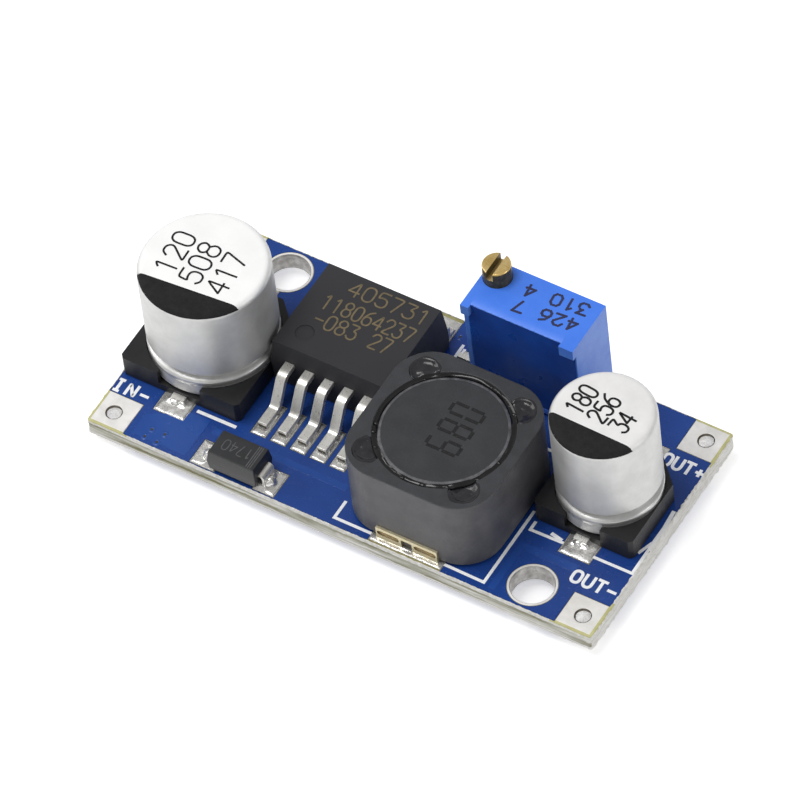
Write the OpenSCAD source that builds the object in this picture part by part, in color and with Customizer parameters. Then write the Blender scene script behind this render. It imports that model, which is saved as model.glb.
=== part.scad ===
// Adjustable step-down (buck) converter module: a small circuit board with a five-lead
// regulator, a shielded inductor, two can capacitors, a rectifier diode and a
// multi-turn trimmer whose screw sets the output voltage.
// Units are mm. X runs from the input end to the output end, Y from the front edge to
// the back edge, Z up. The origin is under the board's centre, level with the tips of
// the trimmer's pins, which are the lowest points.

/* [Board] */
// Length of the board, input end to output end
board_l = 43; // [42.8:0.1:46]
// Width of the board
board_w = 20.8; // [20.7:0.1:23]
// Thickness over both solder masks
board_t = 1.6; // [1.2:0.1:2.4]
// Radius of the board's corners
corner_r = 0.2; // [0.2:0.1:1]
// Side of the square wire pads in the corners
wire_pad = 2.85; // [2.4:0.05:2.9]
// Bare strip between a wire pad and the board's edges
wire_pad_inset = 0.18; // [0.1:0.02:0.3]
// Radius of the wire holes
wire_hole_r = 0.65; // [0.5:0.05:0.9]
// Distance of the wire holes from both edges
wire_hole_inset = 1.45; // [1.35:0.05:1.7]
// Radius of the mounting holes
mount_hole_r = 1.7; // [1.4:0.05:1.8]
// Mounting hole's distance from the short edge
mount_inset_x = 6.1; // [6:0.1:7]
// Mounting hole's distance from the long edge
mount_inset_y = 2.15; // [2.1:0.05:2.5]
// Width of the plated rim round a mounting hole
mount_rim = 0.18; // [0.1:0.02:0.2]

/* [Input capacitor] */
// Centre along the board
in_cap_x = -16.35; // [-16.4:0.05:-16.3]
// Centre's distance from the board's back edge
in_cap_inset = 10.85; // [10.6:0.05:11.2]
// Radius of the can
in_cap_r = 5; // [4.6:0.05:5]
// Height over the board's lands
in_cap_h = 10.3; // [8:0.1:14]
// Side of the square base
in_base = 10.2; // [10.1:0.02:10.22]

/* [Output capacitor] */
// Centre along the board
out_cap_x = 16.6; // [16.4:0.05:17]
// Centre's distance from the board's back edge
out_cap_inset = 9.25; // [9:0.05:9.6]
// Radius of the can
out_cap_r = 4; // [3.6:0.05:4.05]
// Height over the board's lands
out_cap_h = 10.3; // [8:0.1:14]
// Side of the square base
out_base = 8.3; // [8.25:0.05:8.4]

/* [Capacitor form] */
// Height of the moulded base
base_h = 1.9; // [1.6:0.1:2.4]
// Floor of the base under the can
base_floor = 0.65; // [0.5:0.05:0.8]
// Cut corners on the positive side
base_cut = 2.2; // [1.5:0.1:2.4]
// Height of the crimp groove over the lands
crimp_z = 2.6; // [2.4:0.05:2.8]
// Depth of the crimp groove
crimp_depth = 0.45; // [0.3:0.05:0.5]
// Sheet thickness of the cans
can_wall = 0.3; // [0.2:0.05:0.4]
// Radius of the can's top edge
can_edge_r = 0.6; // [0.4:0.1:0.9]
// Width of the flattened leads
cap_lead_w = 1.1; // [0.8:0.1:1.4]
// Thickness of the flattened leads
cap_lead_t = 0.35; // [0.25:0.05:0.4]

/* [Regulator] */
// Centre along the board
reg_x = -6.1; // [-6.12:0.02:-5.9]
// Distance of the body's back face from the board's back edge
reg_inset = 2.65; // [2.55:0.05:2.75]
// Width of the body
reg_w = 10.16; // [9.9:0.04:10.18]
// Length of the body without the tab
reg_l = 8.6; // [8.2:0.1:8.8]
// Height of the body
reg_h = 4.5; // [4.2:0.1:4.8]
// Spacing of the leads
reg_pitch = 1.7; // [1.6:0.02:1.8]
// Width of a lead
reg_lead_w = 0.8; // [0.6:0.05:1]
// Thickness of a lead
reg_lead_t = 0.5; // [0.4:0.05:0.6]
// Height of the leads' shoulder over the seat
reg_shoulder = 2.75; // [2.4:0.05:3]
// Reach of the leads in front of the body
reg_reach = 4.25; // [4.1:0.05:4.5]
// Length of the leads' feet
reg_foot = 1.45; // [1.3:0.05:1.7]
// Thickness of the metal tab
reg_tab_t = 1.27; // [1:0.05:1.4]
// How far the tab stands out behind the body
reg_tab_out = 1.3; // [1:0.1:1.6]

/* [Diode] */
// Centre along the board
diode_x = -8.95; // [-9.1:0.05:-8.8]
// Centre's distance from the board's front edge
diode_inset = 1.32; // [1.3:0.02:1.4]
// Length of the body
diode_l = 4.2; // [4:0.05:4.4]
// Width of the body
diode_w = 2.5; // [2.3:0.05:2.6]
// Height over the lands
diode_h = 2.2; // [1.9:0.1:2.5]

/* [Inductor] */
// Centre along the board
coil_x = 5.7; // [5.6:0.05:5.8]
// Centre's distance from the board's front edge
coil_inset = 6.95; // [6.9:0.05:7.2]
// Side of the square shield
coil_w = 12.3; // [12:0.1:12.4]
// Height over the lands
coil_h = 7; // [6:0.1:9]
// Radius of the shield's upright corners
coil_corner = 3.2; // [2.6:0.1:3.4]
// Radius of the round opening in the shield
coil_bore_r = 5.3; // [5.2:0.05:5.4]
// Radius of the drum core's flanges
core_r = 4.9; // [4.6:0.05:4.95]
// Width of the end terminals
coil_term_w = 5.2; // [4.6:0.1:5.6]

/* [Trimmer] */
// Left end of the housing
trim_x = 2.2; // [2.1:0.05:2.4]
// Distance of the housing's back face from the board's back edge
trim_inset = 0.5; // [0.4:0.05:0.7]
// Length of the housing
trim_l = 9.53; // [9.3:0.01:9.7]
// Depth of the housing
trim_d = 4.83; // [4.6:0.01:5]
// Height of the housing
trim_h = 10.03; // [9.5:0.01:10.5]
// Radius of the screw's head
screw_r = 1.1; // [1:0.02:1.12]
// Height of the head over the housing
screw_out = 1.52; // [1.2:0.02:1.8]
// Width of the driver slot
slot_w = 0.55; // [0.4:0.05:0.6]
// Depth of the driver slot
slot_d = 0.75; // [0.5:0.05:0.9]
// Radius of the lead screw under the head
lead_r = 0.5; // [0.4:0.02:0.5]
// Spacing of the pins
pin_pitch = 2.54; // [2.5:0.02:2.6]
// Pin tails under the board
pin_tail = 0.8; // [0.5:0.1:1.5]

/* [Small resistor] */
// Centre along the board
res_x = 0.7; // [0.6:0.05:0.9]
// Centre's distance from the board's back edge
res_inset = 4.1; // [3.9:0.05:4.4]
// Length of the chip
res_l = 2; // [1.8:0.1:2.2]
// Width of the chip
res_w = 1.25; // [1:0.05:1.35]

/* [Hidden] */
$fn = 64;
e = 0.01;                               // overcut
layer = 0.05;                           // copper and mask on each face
land_t = 0.07;                          // tinned land
plating = 0.05;                         // copper in a plated hole
gap = 0.05;                             // mask's clearance round a land
film = 0.05;                            // solder under a lead
run = 0.03;                             // running clearance in the trimmer
z_bot = pin_tail;                       // underside of the board
z_core = z_bot + layer;                 // underside of the laminate
core_t = board_t - 2 * layer;
z_top = z_core + core_t;                // top face of the laminate
z_land = z_top + land_t;
seat = z_land + film;                   // where leads stand
wire_x = board_l / 2 - wire_hole_inset;
wire_y = board_w / 2 - wire_hole_inset;
pad_x = board_l / 2 - wire_pad_inset - wire_pad / 2;
pad_y = board_w / 2 - wire_pad_inset - wire_pad / 2;
mount_x = board_l / 2 - mount_inset_x;
mount_y = board_w / 2 - mount_inset_y;
rim_r = mount_hole_r + mount_rim;
in_cap_y = board_w / 2 - in_cap_inset;
out_cap_y = board_w / 2 - out_cap_inset;
reg_front_y = board_w / 2 - reg_inset - reg_l;
diode_y = diode_inset - board_w / 2;
coil_y = coil_inset - board_w / 2;
trim_back_y = board_w / 2 - trim_inset;
res_y = board_w / 2 - res_inset;

// capacitors
cap_land_w = 2.6;
cap_land_out = 1.75;                    // land in front of the base
tall = 20;                              // taller than any can
cap_lead_out = 0.45;                    // lead in front of the base
crimp_tool_r = 0.8;                     // round form that makes the groove
lead_pin_r = 0.3;

// regulator
reg_land_w = 1.25;
reg_land_out = 0.7;                     // land in front of a foot
reg_land_in = 0.95;                     // land behind a foot
reg_land_front = reg_front_y - reg_reach - reg_land_out;
reg_land_l = reg_foot + reg_land_out + reg_land_in;
reg_draft = 0.24;
tab_w = reg_w - 0.9;
tab_in = 6.4;                           // tab under the body
tab_land_w = 9.4;
bend_r = 0.75;
bend_a = 60;
lead_in = 1;                            // lead inside the body

// diode
diode_lead_w = 1.45;
diode_lead_t = 0.2;
diode_parting = 1.15;
diode_lift = 0.24;
diode_lead_out = 0.42;
diode_land_w = 2.25;
diode_land_in = 1.65;                   // lands' inner ends, from the centre
diode_land_out = [1.65, 1.35];          // lands' reach past the body, left and right
land_edge = 0.1;                        // bare rim of a land round its solder
bead_r = 0.62;
bead_rise = 0.1;

// inductor
term_t = 0.2;
term_up = 1.15;
term_in = 2.3;
term_notch = 0.9;                       // width of the notch in its lower edge
term_window = [1.85, 0.5];
coil_land_w = 6.1;
flange_t = 1.3;
post_r = 2.4;
pocket_r = 1.15;
pocket_at = coil_bore_r + 0.45;
pocket_d = 0.7;
glue_drop = 0.12;

// trimmer
trim_recess = 0.4;                      // front face behind the corner tabs
trim_tab_h = 1;
tab_left_w = 0.7;
tab_right_w = 1.2;
trim_wall = 0.4;
trim_roof = 1.6;
trim_floor = 0.8;
foot_h = 0.3;
foot_w = 0.9;
trim_z = z_land;                        // housing stands on its feet
trim_front = trim_back_y - trim_d;
trim_face = trim_front + trim_recess;
cavity_x0 = trim_x + trim_wall;
cavity_x1 = trim_x + trim_l - trim_wall;
cavity_y1 = trim_back_y - trim_wall;
cavity_z0 = trim_z + trim_floor;
cavity_z1 = trim_z + trim_h - trim_roof;
potting_t = 0.8;
rebate_y = trim_face + 0.4;             // back of the shallow rebate above the cavity
element_t = 0.6;
element_y = trim_face + potting_t;      // front of the ceramic
screw_x = trim_x + 1.15;
screw_y = trim_back_y - 1.3;
screw_bore_r = screw_r + run;
ring_sec = 0.15;
groove_r = screw_bore_r - 2 * ring_sec - run;
groove_h = 2 * ring_sec + 0.04;
ring_z = cavity_z1 + 0.9;
shank_end = cavity_z0 - 0.5;
carriage_h = 1.2;
carriage_z = (cavity_z0 + cavity_z1) / 2;
carriage_y0 = screw_y - 1.05;
carriage_w = 1;                         // arm across the housing
nut_out = 1.2;                          // nut block past the screw's axis
arm_l = trim_l * 0.65;
arm_inset = 0.2;
side_gap = 0.05;
wiper_in = 1.6;                         // spring's start past the screw's axis
wiper_l = 3.6;
wiper_w = 0.7;
wiper_t = 0.12;
contact_r = 0.25;
contact_gap = 0.04;
pin_r = 0.25;
pin_x = trim_x + trim_l / 2;
pin_y = element_y + element_t / 2;
pin_hole_r = 0.42;
pin_land_r = 0.85;

// ---------- plane forms ----------

// rectangle with rounded corners, centred
module round_rect(l, w, r) {
    square([l - 2 * r, w], center = true);
    square([l, w - 2 * r], center = true);
    for (sx = [-1, 1], sy = [-1, 1])
        translate([sx * (l / 2 - r), sy * (w / 2 - r)]) circle(r);
}

// rectangle from corner to corner
module span(x0, y0, x1, y1) {
    translate([x0, y0]) square([x1 - x0, y1 - y0]);
}

// part of a ring between two angles, less than half a turn apart
module sector(r0, r1, a0, a1) {
    far = 3 * r1;
    am = (a0 + a1) / 2;
    intersection() {
        difference() {
            circle(r1);
            if (r0 > 0) circle(r0);
        }
        polygon([[0, 0], far * [cos(a0), sin(a0)], far * [cos(am), sin(am)],
            far * [cos(a1), sin(a1)]]);
    }
}

// bent strip, drawn piece by piece: go straight, turn left (a > 0) or right (a < 0)
module go(len, t) {
    translate([0, -t / 2]) square([len, t]);
    translate([len, 0]) children();
}

module turn(r, t, a) {
    lap = 1.5;                          // degrees that a bend runs into its neighbours
    if (a > 0) translate([0, r]) sector(r - t / 2, r + t / 2, -90 - lap, a - 90 + lap);
    else translate([0, -r]) sector(r - t / 2, r + t / 2, 90 + a - lap, 90 + lap);
    translate([r * sin(abs(a)), sign(a) * r * (1 - cos(a))]) rotate(a) children();
}

// ---------- board ----------

module board_outline(inset = 0) {
    round_rect(board_l - 2 * inset, board_w - 2 * inset, corner_r - inset);
}

module at_wire_holes() {
    for (sx = [-1, 1], sy = [-1, 1]) translate([sx * wire_x, sy * wire_y]) children();
}

module at_mounts() {
    for (s = [-1, 1]) translate([-s * mount_x, s * mount_y]) children();
}

module at_pins() {
    for (k = [-1:1]) translate([pin_x + k * pin_pitch, pin_y]) children();
}

module board_laminate() {
    color("#b9b58a") translate([0, 0, z_core]) linear_extrude(core_t) difference() {
        board_outline();
        at_wire_holes() circle(wire_hole_r);
        at_mounts() circle(mount_hole_r);
        at_pins() circle(pin_hole_r + plating);
    }
}

// openings that both masks share: wire pads to the very corner, rims and pins
module mask_openings() {
    for (sx = [-1, 1], sy = [-1, 1])
        translate([sx * (board_l / 2), sy * (board_w / 2)])
            square(2 * (wire_pad_inset + wire_pad + gap), center = true);
    at_mounts() circle(rim_r + gap);
    at_pins() circle(pin_land_r + gap);
}

module solder_mask_top() {
    color("#2747a3") translate([0, 0, z_top]) linear_extrude(layer) difference() {
        board_outline(0.08);
        mask_openings();
        land_plan(gap);
        // bare strips between the largest lands and the edges
        span(reg_x - tab_land_w / 2 - gap, 0, reg_x + tab_land_w / 2 + gap, board_w);
        span(coil_x - coil_land_w / 2 - gap, -board_w, coil_x + coil_land_w / 2 + gap,
            coil_y - coil_w / 2);
    }
}

module solder_mask_bottom() {
    color("#2747a3") translate([0, 0, z_bot]) linear_extrude(layer) difference() {
        board_outline(0.08);
        mask_openings();
    }
}

// square pad on both faces round one hole
module wire_pad(sx, sy) {
    color("#d8d8d4") for (z = [z_core - land_t, z_top])
        translate([0, 0, z]) linear_extrude(land_t) difference() {
            translate([sx * pad_x, sy * pad_y]) square(wire_pad, center = true);
            translate([sx * wire_x, sy * wire_y]) circle(wire_hole_r);
        }
}

module wire_pad_in_minus() wire_pad(-1, -1);
module wire_pad_in_plus() wire_pad(-1, 1);
module wire_pad_out_minus() wire_pad(1, -1);
module wire_pad_out_plus() wire_pad(1, 1);

// plated hole: a barrel with a rim on both faces, as one turned profile
module plated_hole(hole_r, land_r) {
    translate([0, 0, z_core - land_t]) rotate_extrude() {
        span(hole_r, 0, hole_r + plating, core_t + 2 * land_t);
        span(hole_r, 0, land_r, land_t);
        span(hole_r, core_t + land_t, land_r, core_t + 2 * land_t);
    }
}

// plated ring on both faces round one mounting hole
module mounting_rim(x, y) {
    color("#d8d8d4") for (z = [z_core - land_t, z_top])
        translate([x, y, z]) linear_extrude(land_t) difference() {
            circle(rim_r);
            circle(mount_hole_r);
        }
}

module mounting_rim_back() mounting_rim(-mount_x, mount_y);
module mounting_rim_front() mounting_rim(mount_x, -mount_y);

// plan of every land on the top face, grown by g
module land_plan(g = 0) {
    // regulator: five leads and the tab
    for (k = [-2:2])
        translate([reg_x + k * reg_pitch, reg_land_front + reg_land_l / 2])
            square([reg_land_w + 2 * g, reg_land_l + 2 * g], center = true);
    span(reg_x - tab_land_w / 2 - g, reg_front_y + 0.6 - g,
        reg_x + tab_land_w / 2 + g, board_w / 2 - 0.35 + g);
    // capacitors
    cap_lands(in_cap_x, in_cap_y, in_base, g);
    cap_lands(out_cap_x + 0.2, out_cap_y, out_base, g);
    // diode
    for (s = [-1, 1]) diode_land(s, g);
    // inductor
    for (s = [-1, 1])
        translate([coil_x, coil_y + s * (coil_w / 2 - 1.1)])
            square([coil_land_w + 2 * g, 3.4 + 2 * g], center = true);
    // resistor
    for (s = [-1, 1]) translate([res_x, res_y + s * 1.05])
        square([res_w + 0.1 + 2 * g, 1.2 + 2 * g], center = true);
}

module cap_lands(x, y, base, g) {
    for (s = [-1, 1]) translate([x, y + s * (base / 2 + cap_land_out - 1.9)])
        square([cap_land_w + 2 * g, 3.8 + 2 * g], center = true);
}

module diode_land(s, g) {
    out = diode_l / 2 + diode_land_out[s < 0 ? 0 : 1] + g;
    translate([diode_x, diode_y - diode_land_w / 2 - g])
        span(s < 0 ? -out : diode_land_in - g, 0, s < 0 ? g - diode_land_in : out,
            diode_land_w + 2 * g);
}

module surface_lands() {
    color("#cfcfca") translate([0, 0, z_top]) linear_extrude(land_t) land_plan();
}

module trimmer_lands() {
    color("#cfcfca") at_pins() plated_hole(pin_hole_r, pin_land_r);
}

// ---------- can capacitors ----------

// half section of a drawn can, from its axis outwards; inner = true gives the inside
module can_section(r, h, inner) {
    t = inner ? can_wall : 0;
    er = can_edge_r - t;
    z0 = inner ? -e : 0;
    difference() {
        union() {
            span(0, z0, r - t, h - can_edge_r);
            span(0, z0, r - can_edge_r, h - t);
            translate([r - can_edge_r, h - can_edge_r]) circle(er);
        }
        // crimp groove
        translate([r + crimp_tool_r - crimp_depth, crimp_z - can_lift])
            circle(crimp_tool_r + t);
        // rolled lower edge
        if (!inner) difference() {
            span(r - 0.3, -e, r + 1, 0.3);
            translate([r - 0.3, 0.3]) circle(0.3);
        }
    }
}

can_lift = base_floor + 0.05;           // underside of a can over its base's underside

module can(r, h) {
    translate([0, 0, can_lift]) rotate_extrude() difference() {
        can_section(r, h - can_lift, false);
        intersection() {
            can_section(r, h - can_lift, true);
            span(0, -1, 2 * r, h);
        }
    }
}

module bung(r) {
    translate([0, 0, can_lift]) difference() {
        rotate_extrude() intersection() {
            can_section(r, tall, true);
            span(0, 0.15, 2 * r, crimp_z - can_lift + 0.7);
        }
        for (s = [-1, 1]) translate([0, s * r * 0.46, -1]) cylinder(r = lead_pin_r, h = 5);
    }
}

module winding(r, h) {
    z0 = crimp_z + 0.9;
    translate([0, 0, z0]) cylinder(r = r - can_wall - 0.25, h = h - can_wall - 0.2 - z0);
}

// square base: cut corners at the positive (back) side, a seat for the can and an
// open slot over each lead
module cap_base(base, r) {
    b = base / 2;
    s = 0.3;
    difference() {
        linear_extrude(base_h) polygon([[-b + s, -b], [b - s, -b], [b, -b + s],
            [b, b - base_cut], [b - base_cut, b], [-b + base_cut, b],
            [-b, b - base_cut], [-b, -b + s]]);
        translate([0, 0, base_floor]) cylinder(r = r + 0.08, h = base_h);
        translate([0, 0, base_floor]) linear_extrude(base_h)
            span(-base * 0.18, -b - 1, base * 0.18, b + 1);
        for (k = [-1, 1]) {
            // groove for the flat lead, and the hole that its round pin comes through
            translate([0, 0, -e]) linear_extrude(cap_lead_t + e)
                span(-cap_lead_w / 2, min(k * r * 0.46, k * (b + 1)) - (k > 0 ? lead_pin_r : 0),
                    cap_lead_w / 2, max(k * r * 0.46, k * (b + 1)) + (k < 0 ? lead_pin_r : 0));
            translate([0, k * r * 0.46, -e]) cylinder(r = lead_pin_r, h = base_h);
        }
    }
}

module cap_lead(base, r, k) {
    reach = base / 2 + cap_lead_out - r * 0.46;
    translate([0, k * r * 0.46]) {
        cylinder(r = lead_pin_r, h = crimp_z + 0.9);
        linear_extrude(cap_lead_t) translate([0, k * (reach - lead_pin_r) / 2])
            square([cap_lead_w, reach + lead_pin_r], center = true);
    }
}

module at_in_cap() translate([in_cap_x, in_cap_y, seat]) children();
module at_out_cap() translate([out_cap_x, out_cap_y, seat]) children();

module input_cap_can() { color("#c9cacd") at_in_cap() can(in_cap_r, in_cap_h); }
module input_cap_base() { color("#1c1d1f") at_in_cap() cap_base(in_base, in_cap_r); }
module input_cap_bung() { color("#2a2a2a") at_in_cap() bung(in_cap_r); }
module input_cap_winding() { color("#b08d57") at_in_cap() winding(in_cap_r, in_cap_h); }
module input_cap_lead_minus() { color("#d2d2d0") at_in_cap() cap_lead(in_base, in_cap_r, -1); }
module input_cap_lead_plus() { color("#d2d2d0") at_in_cap() cap_lead(in_base, in_cap_r, 1); }
module output_cap_can() { color("#c9cacd") at_out_cap() can(out_cap_r, out_cap_h); }
module output_cap_base() { color("#1c1d1f") at_out_cap() cap_base(out_base, out_cap_r); }
module output_cap_bung() { color("#2a2a2a") at_out_cap() bung(out_cap_r); }
module output_cap_winding() { color("#b08d57") at_out_cap() winding(out_cap_r, out_cap_h); }
module output_cap_lead_minus() { color("#d2d2d0") at_out_cap() cap_lead(out_base, out_cap_r, -1); }
module output_cap_lead_plus() { color("#d2d2d0") at_out_cap() cap_lead(out_base, out_cap_r, 1); }

// solder of a capacitor: a film over the visible land and a small fillet at the lead
module cap_solder(x, y, base, land_x) {
    for (k = [-1, 1]) {
        y_out = y + k * (base / 2 + cap_land_out - 0.1);
        y_in = y + k * (base / 2 - 1.2);
        translate([0, 0, z_land]) linear_extrude(film)
            span(land_x - cap_land_w / 2 + 0.1, min(y_out, y_in),
                land_x + cap_land_w / 2 - 0.1, max(y_out, y_in));
        translate([x, y + k * (base / 2 + cap_lead_out), seat])
            rotate([90, 0, k > 0 ? 90 : -90])
                translate([0, 0, -cap_lead_w / 2]) linear_extrude(cap_lead_w)
                    difference() {
                        span(0, 0, 0.3, 0.3);
                        translate([0.3, 0.3]) circle(0.3);
                    }
    }
}

module solder_input_cap() {
    color("#d9dad6") cap_solder(in_cap_x, in_cap_y, in_base, in_cap_x);
}

module solder_output_cap() {
    color("#d9dad6") cap_solder(out_cap_x, out_cap_y, out_base, out_cap_x + 0.2);
}

// ---------- regulator ----------

module at_reg() translate([reg_x, reg_front_y, seat]) children();

// gull-wing lead, side view: x runs forwards from inside the body, y up
module lead_section() {
    drop = reg_shoulder - reg_lead_t;
    s2 = (drop - 2 * bend_r * (1 - cos(bend_a))) / sin(bend_a);
    s1 = reg_reach - reg_foot - 2 * bend_r * sin(bend_a) - s2 * cos(bend_a);
    translate([-lead_in, reg_shoulder - reg_lead_t / 2])
        go(lead_in + s1, reg_lead_t)
            turn(bend_r, reg_lead_t, -bend_a)
                go(s2, reg_lead_t)
                    turn(bend_r, reg_lead_t, bend_a)
                        go(reg_foot, reg_lead_t);
}

module reg_lead(k) {
    color("#d6d6d2") at_reg() translate([k * reg_pitch - reg_lead_w / 2, 0, 0])
        rotate([90, 0, -90]) mirror([0, 0, 1]) linear_extrude(reg_lead_w)
            lead_section();
}

module regulator_lead_1() reg_lead(-2);
module regulator_lead_2() reg_lead(-1);
module regulator_lead_3() reg_lead(0);
module regulator_lead_4() reg_lead(1);
module regulator_lead_5() reg_lead(2);

// moulded body: two crossed tapered sections, upright below the leads' plane
module regulator_body() {
    w = reg_w / 2;
    d = reg_draft;
    color("#2b2c2e") at_reg() difference() {
        intersection() {
            rotate([90, 0, 0]) translate([0, 0, -reg_l - 1]) linear_extrude(reg_l + 2)
                polygon([[-w + d / 3, 0], [w - d / 3, 0], [w, reg_shoulder - reg_lead_t],
                    [w - d, reg_h], [-w + d, reg_h], [-w, reg_shoulder - reg_lead_t]]);
            rotate([90, 0, 90]) translate([0, 0, -w - 1]) linear_extrude(2 * w + 2)
                polygon([[d / 2, 0], [reg_l, 0], [reg_l, reg_tab_t],
                    [reg_l - d, reg_h], [d, reg_h], [0, reg_shoulder - reg_lead_t]]);
        }
        tab_block(-1);
        for (k = [-2:2]) translate([k * reg_pitch - reg_lead_w / 2, -1,
            reg_shoulder - reg_lead_t])
            cube([reg_lead_w, 1 + lead_in, reg_lead_t]);
        // pin one dimple
        translate([-3.08, 1.94, reg_h - 0.12]) cylinder(r = 0.72, h = 1);
    }
}

// tab: under the body with its end behind it, corners cut
module tab_block(below = 0) {
    w = tab_w / 2;
    y1 = reg_l + reg_tab_out;
    c = 0.5;
    translate([0, 0, below]) linear_extrude(reg_tab_t - below)
        polygon([[-w, reg_l - tab_in], [w, reg_l - tab_in], [w, y1 - c], [w - c, y1],
            [-w + c, y1], [-w, y1 - c]]);
}

module regulator_tab() { color("#cdb9a6") at_reg() tab_block(); }

// solder: a film and a front fillet at each foot, and the film under the tab
module solder_regulator() {
    color("#d9dad6") {
        for (k = [-2:2]) translate([reg_x + k * reg_pitch, 0, 0]) {
            translate([0, 0, z_land]) linear_extrude(film)
                span(-reg_land_w / 2 + 0.08, reg_land_front + 0.08, reg_land_w / 2 - 0.08,
                    reg_land_front + reg_land_l - 0.1);
            translate([-reg_lead_w / 2, reg_front_y - reg_reach, seat])
                rotate([90, 0, -90]) mirror([0, 0, 1]) linear_extrude(reg_lead_w)
                    difference() {
                        span(0, 0, 0.35, 0.35);
                        translate([0.35, 0.35]) circle(0.35);
                    }
        }
        translate([0, 0, z_land]) linear_extrude(film)
            span(reg_x - tab_land_w / 2 + 0.1, reg_front_y + 1.2,
                reg_x + tab_land_w / 2 - 0.1, board_w / 2 - 0.45);
    }
}

// ---------- diode ----------

module at_diode() translate([diode_x, diode_y, seat]) children();

module diode_body() {
    l = diode_l / 2;
    w = diode_w / 2;
    color("#2a2b2c") at_diode() difference() {
        intersection() {
            rotate([90, 0, 0]) translate([0, 0, -w - 1]) linear_extrude(2 * w + 2)
                polygon([[-l + 0.12, diode_lift], [l - 0.12, diode_lift], [l, diode_parting],
                    [l - 0.16, diode_h], [-l + 0.16, diode_h], [-l, diode_parting]]);
            rotate([90, 0, 90]) translate([0, 0, -l - 1]) linear_extrude(2 * l + 2)
                polygon([[-w + 0.08, diode_lift], [w - 0.08, diode_lift], [w, diode_parting],
                    [w - 0.12, diode_h], [-w + 0.12, diode_h], [-w, diode_parting]]);
        }
        for (s = [-1, 1]) translate([s * l, 0, diode_parting])
            cube([1.2, diode_lead_w, diode_lead_t], center = true);
    }
}

// lead bent down the body's end and back under it, side view
module j_section() {
    r = 0.3;
    down = diode_parting - diode_lead_t / 2 - 2 * r;
    translate([diode_l / 2 - 0.6, diode_parting])
        go(0.6 + diode_lead_out - r - diode_lead_t / 2, diode_lead_t)
            turn(r, diode_lead_t, -90)
                go(down, diode_lead_t)
                    turn(r, diode_lead_t, -90)
                        go(0.9, diode_lead_t);
}

module j_lead(s) {
    color("#d6d6d2") at_diode() rotate([0, 0, s > 0 ? 0 : 180]) rotate([90, 0, 0])
        translate([0, 0, -diode_lead_w / 2]) linear_extrude(diode_lead_w) j_section();
}

module diode_lead_anode() j_lead(-1);
module diode_lead_cathode() j_lead(1);

// solder: a film on each land and a rounded bead against each lead
module solder_diode() {
    color("#d9dad6") {
        translate([0, 0, z_land]) linear_extrude(film)
            for (s = [-1, 1]) diode_land(s, -land_edge);
        for (s = [-1, 1]) at_diode()
            translate([s * (diode_l / 2 + diode_lead_out), 0, 0]) intersection() {
                translate([0, 0, bead_rise]) sphere(r = bead_r);
                translate([s > 0 ? 0 : -bead_r, -bead_r, 0])
                    cube([bead_r, 2 * bead_r, bead_rise + bead_r * 0.95]);
            }
    }
}

// ---------- inductor ----------

module at_coil() translate([coil_x, coil_y, seat]) children();

module at_pockets() {
    for (a = [45:90:315]) rotate(a) translate([pocket_at, 0]) children();
}

module inductor_shield() {
    color("#4a4a4d") at_coil() difference() {
        translate([0, 0, term_t]) linear_extrude(coil_h - term_t)
            round_rect(coil_w, coil_w, coil_corner);
        translate([0, 0, -1]) cylinder(r = coil_bore_r, h = coil_h + 2);
        translate([0, 0, coil_h - pocket_d]) linear_extrude(1) at_pockets()
            circle(pocket_r);
    }
}

// drum core: two flanges on a post
module inductor_core() {
    color("#434346") at_coil() rotate_extrude() {
        span(0, term_t, core_r, term_t + flange_t);
        span(0, term_t, post_r, coil_h - 0.1);
        difference() {
            span(0, coil_h - 0.1 - flange_t, core_r, coil_h - 0.1);
            translate([core_r, coil_h - 0.1]) rotate(45)
                square(0.3, center = true);
        }
    }
}

module inductor_winding() {
    color("#a8623a") at_coil() translate([0, 0, term_t + flange_t]) difference() {
        cylinder(r = core_r - 0.35, h = coil_h - 0.1 - term_t - 2 * flange_t);
        translate([0, 0, -1]) cylinder(r = post_r, h = coil_h);
    }
}

// glue in the ring gap and in the four corner pockets
module inductor_glue() {
    color("#101012") at_coil() {
        translate([0, 0, coil_h - pocket_d]) linear_extrude(pocket_d - glue_drop)
            difference() {
                union() {
                    circle(coil_bore_r);
                    at_pockets() circle(pocket_r);
                }
                circle(core_r);
            }
    }
}

// terminal plate: under the shield and up its side, two windows and a notch
module coil_terminal(s) {
    w = coil_term_w;
    color("#d9cfae") at_coil() rotate([0, 0, s > 0 ? 180 : 0]) {
        translate([0, -coil_w / 2 - term_t, 0]) linear_extrude(term_t)
            difference() {
                span(-w / 2, 0, w / 2, term_in + term_t);
                span(-term_notch / 2, -e, term_notch / 2, 0.6);
            }
        translate([0, -coil_w / 2, 0]) rotate([90, 0, 0]) linear_extrude(term_t)
            difference() {
                span(-w / 2, 0, w / 2, term_up);
                span(-term_notch / 2, -e, term_notch / 2, term_up * 0.75);
                for (k = [-1, 1]) translate([k * w * 0.3, term_up * 0.55])
                    round_rect(term_window[0], term_window[1], 0.24);
            }
    }
}

module inductor_terminal_front() coil_terminal(-1);
module inductor_terminal_back() coil_terminal(1);

module solder_inductor() {
    w = coil_land_w - 0.2;
    color("#d9dad6") at_coil() for (a = [0, 180]) rotate(a) {
        translate([0, -coil_w / 2 - 0.5, -film]) linear_extrude(film)
            span(-w / 2, 0, w / 2, 3.2);
        // fillet along the foot of the plate, on both sides of the notch
        for (k = [-1, 1]) translate([k * coil_term_w * 0.29 - 1, -coil_w / 2 - term_t, 0])
            rotate([90, 0, -90]) mirror([0, 0, 1]) linear_extrude(2)
                difference() {
                    span(0, 0, 0.26, 0.26);
                    translate([0.26, 0.26]) circle(0.26);
                }
    }
}

// ---------- trimmer ----------

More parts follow.
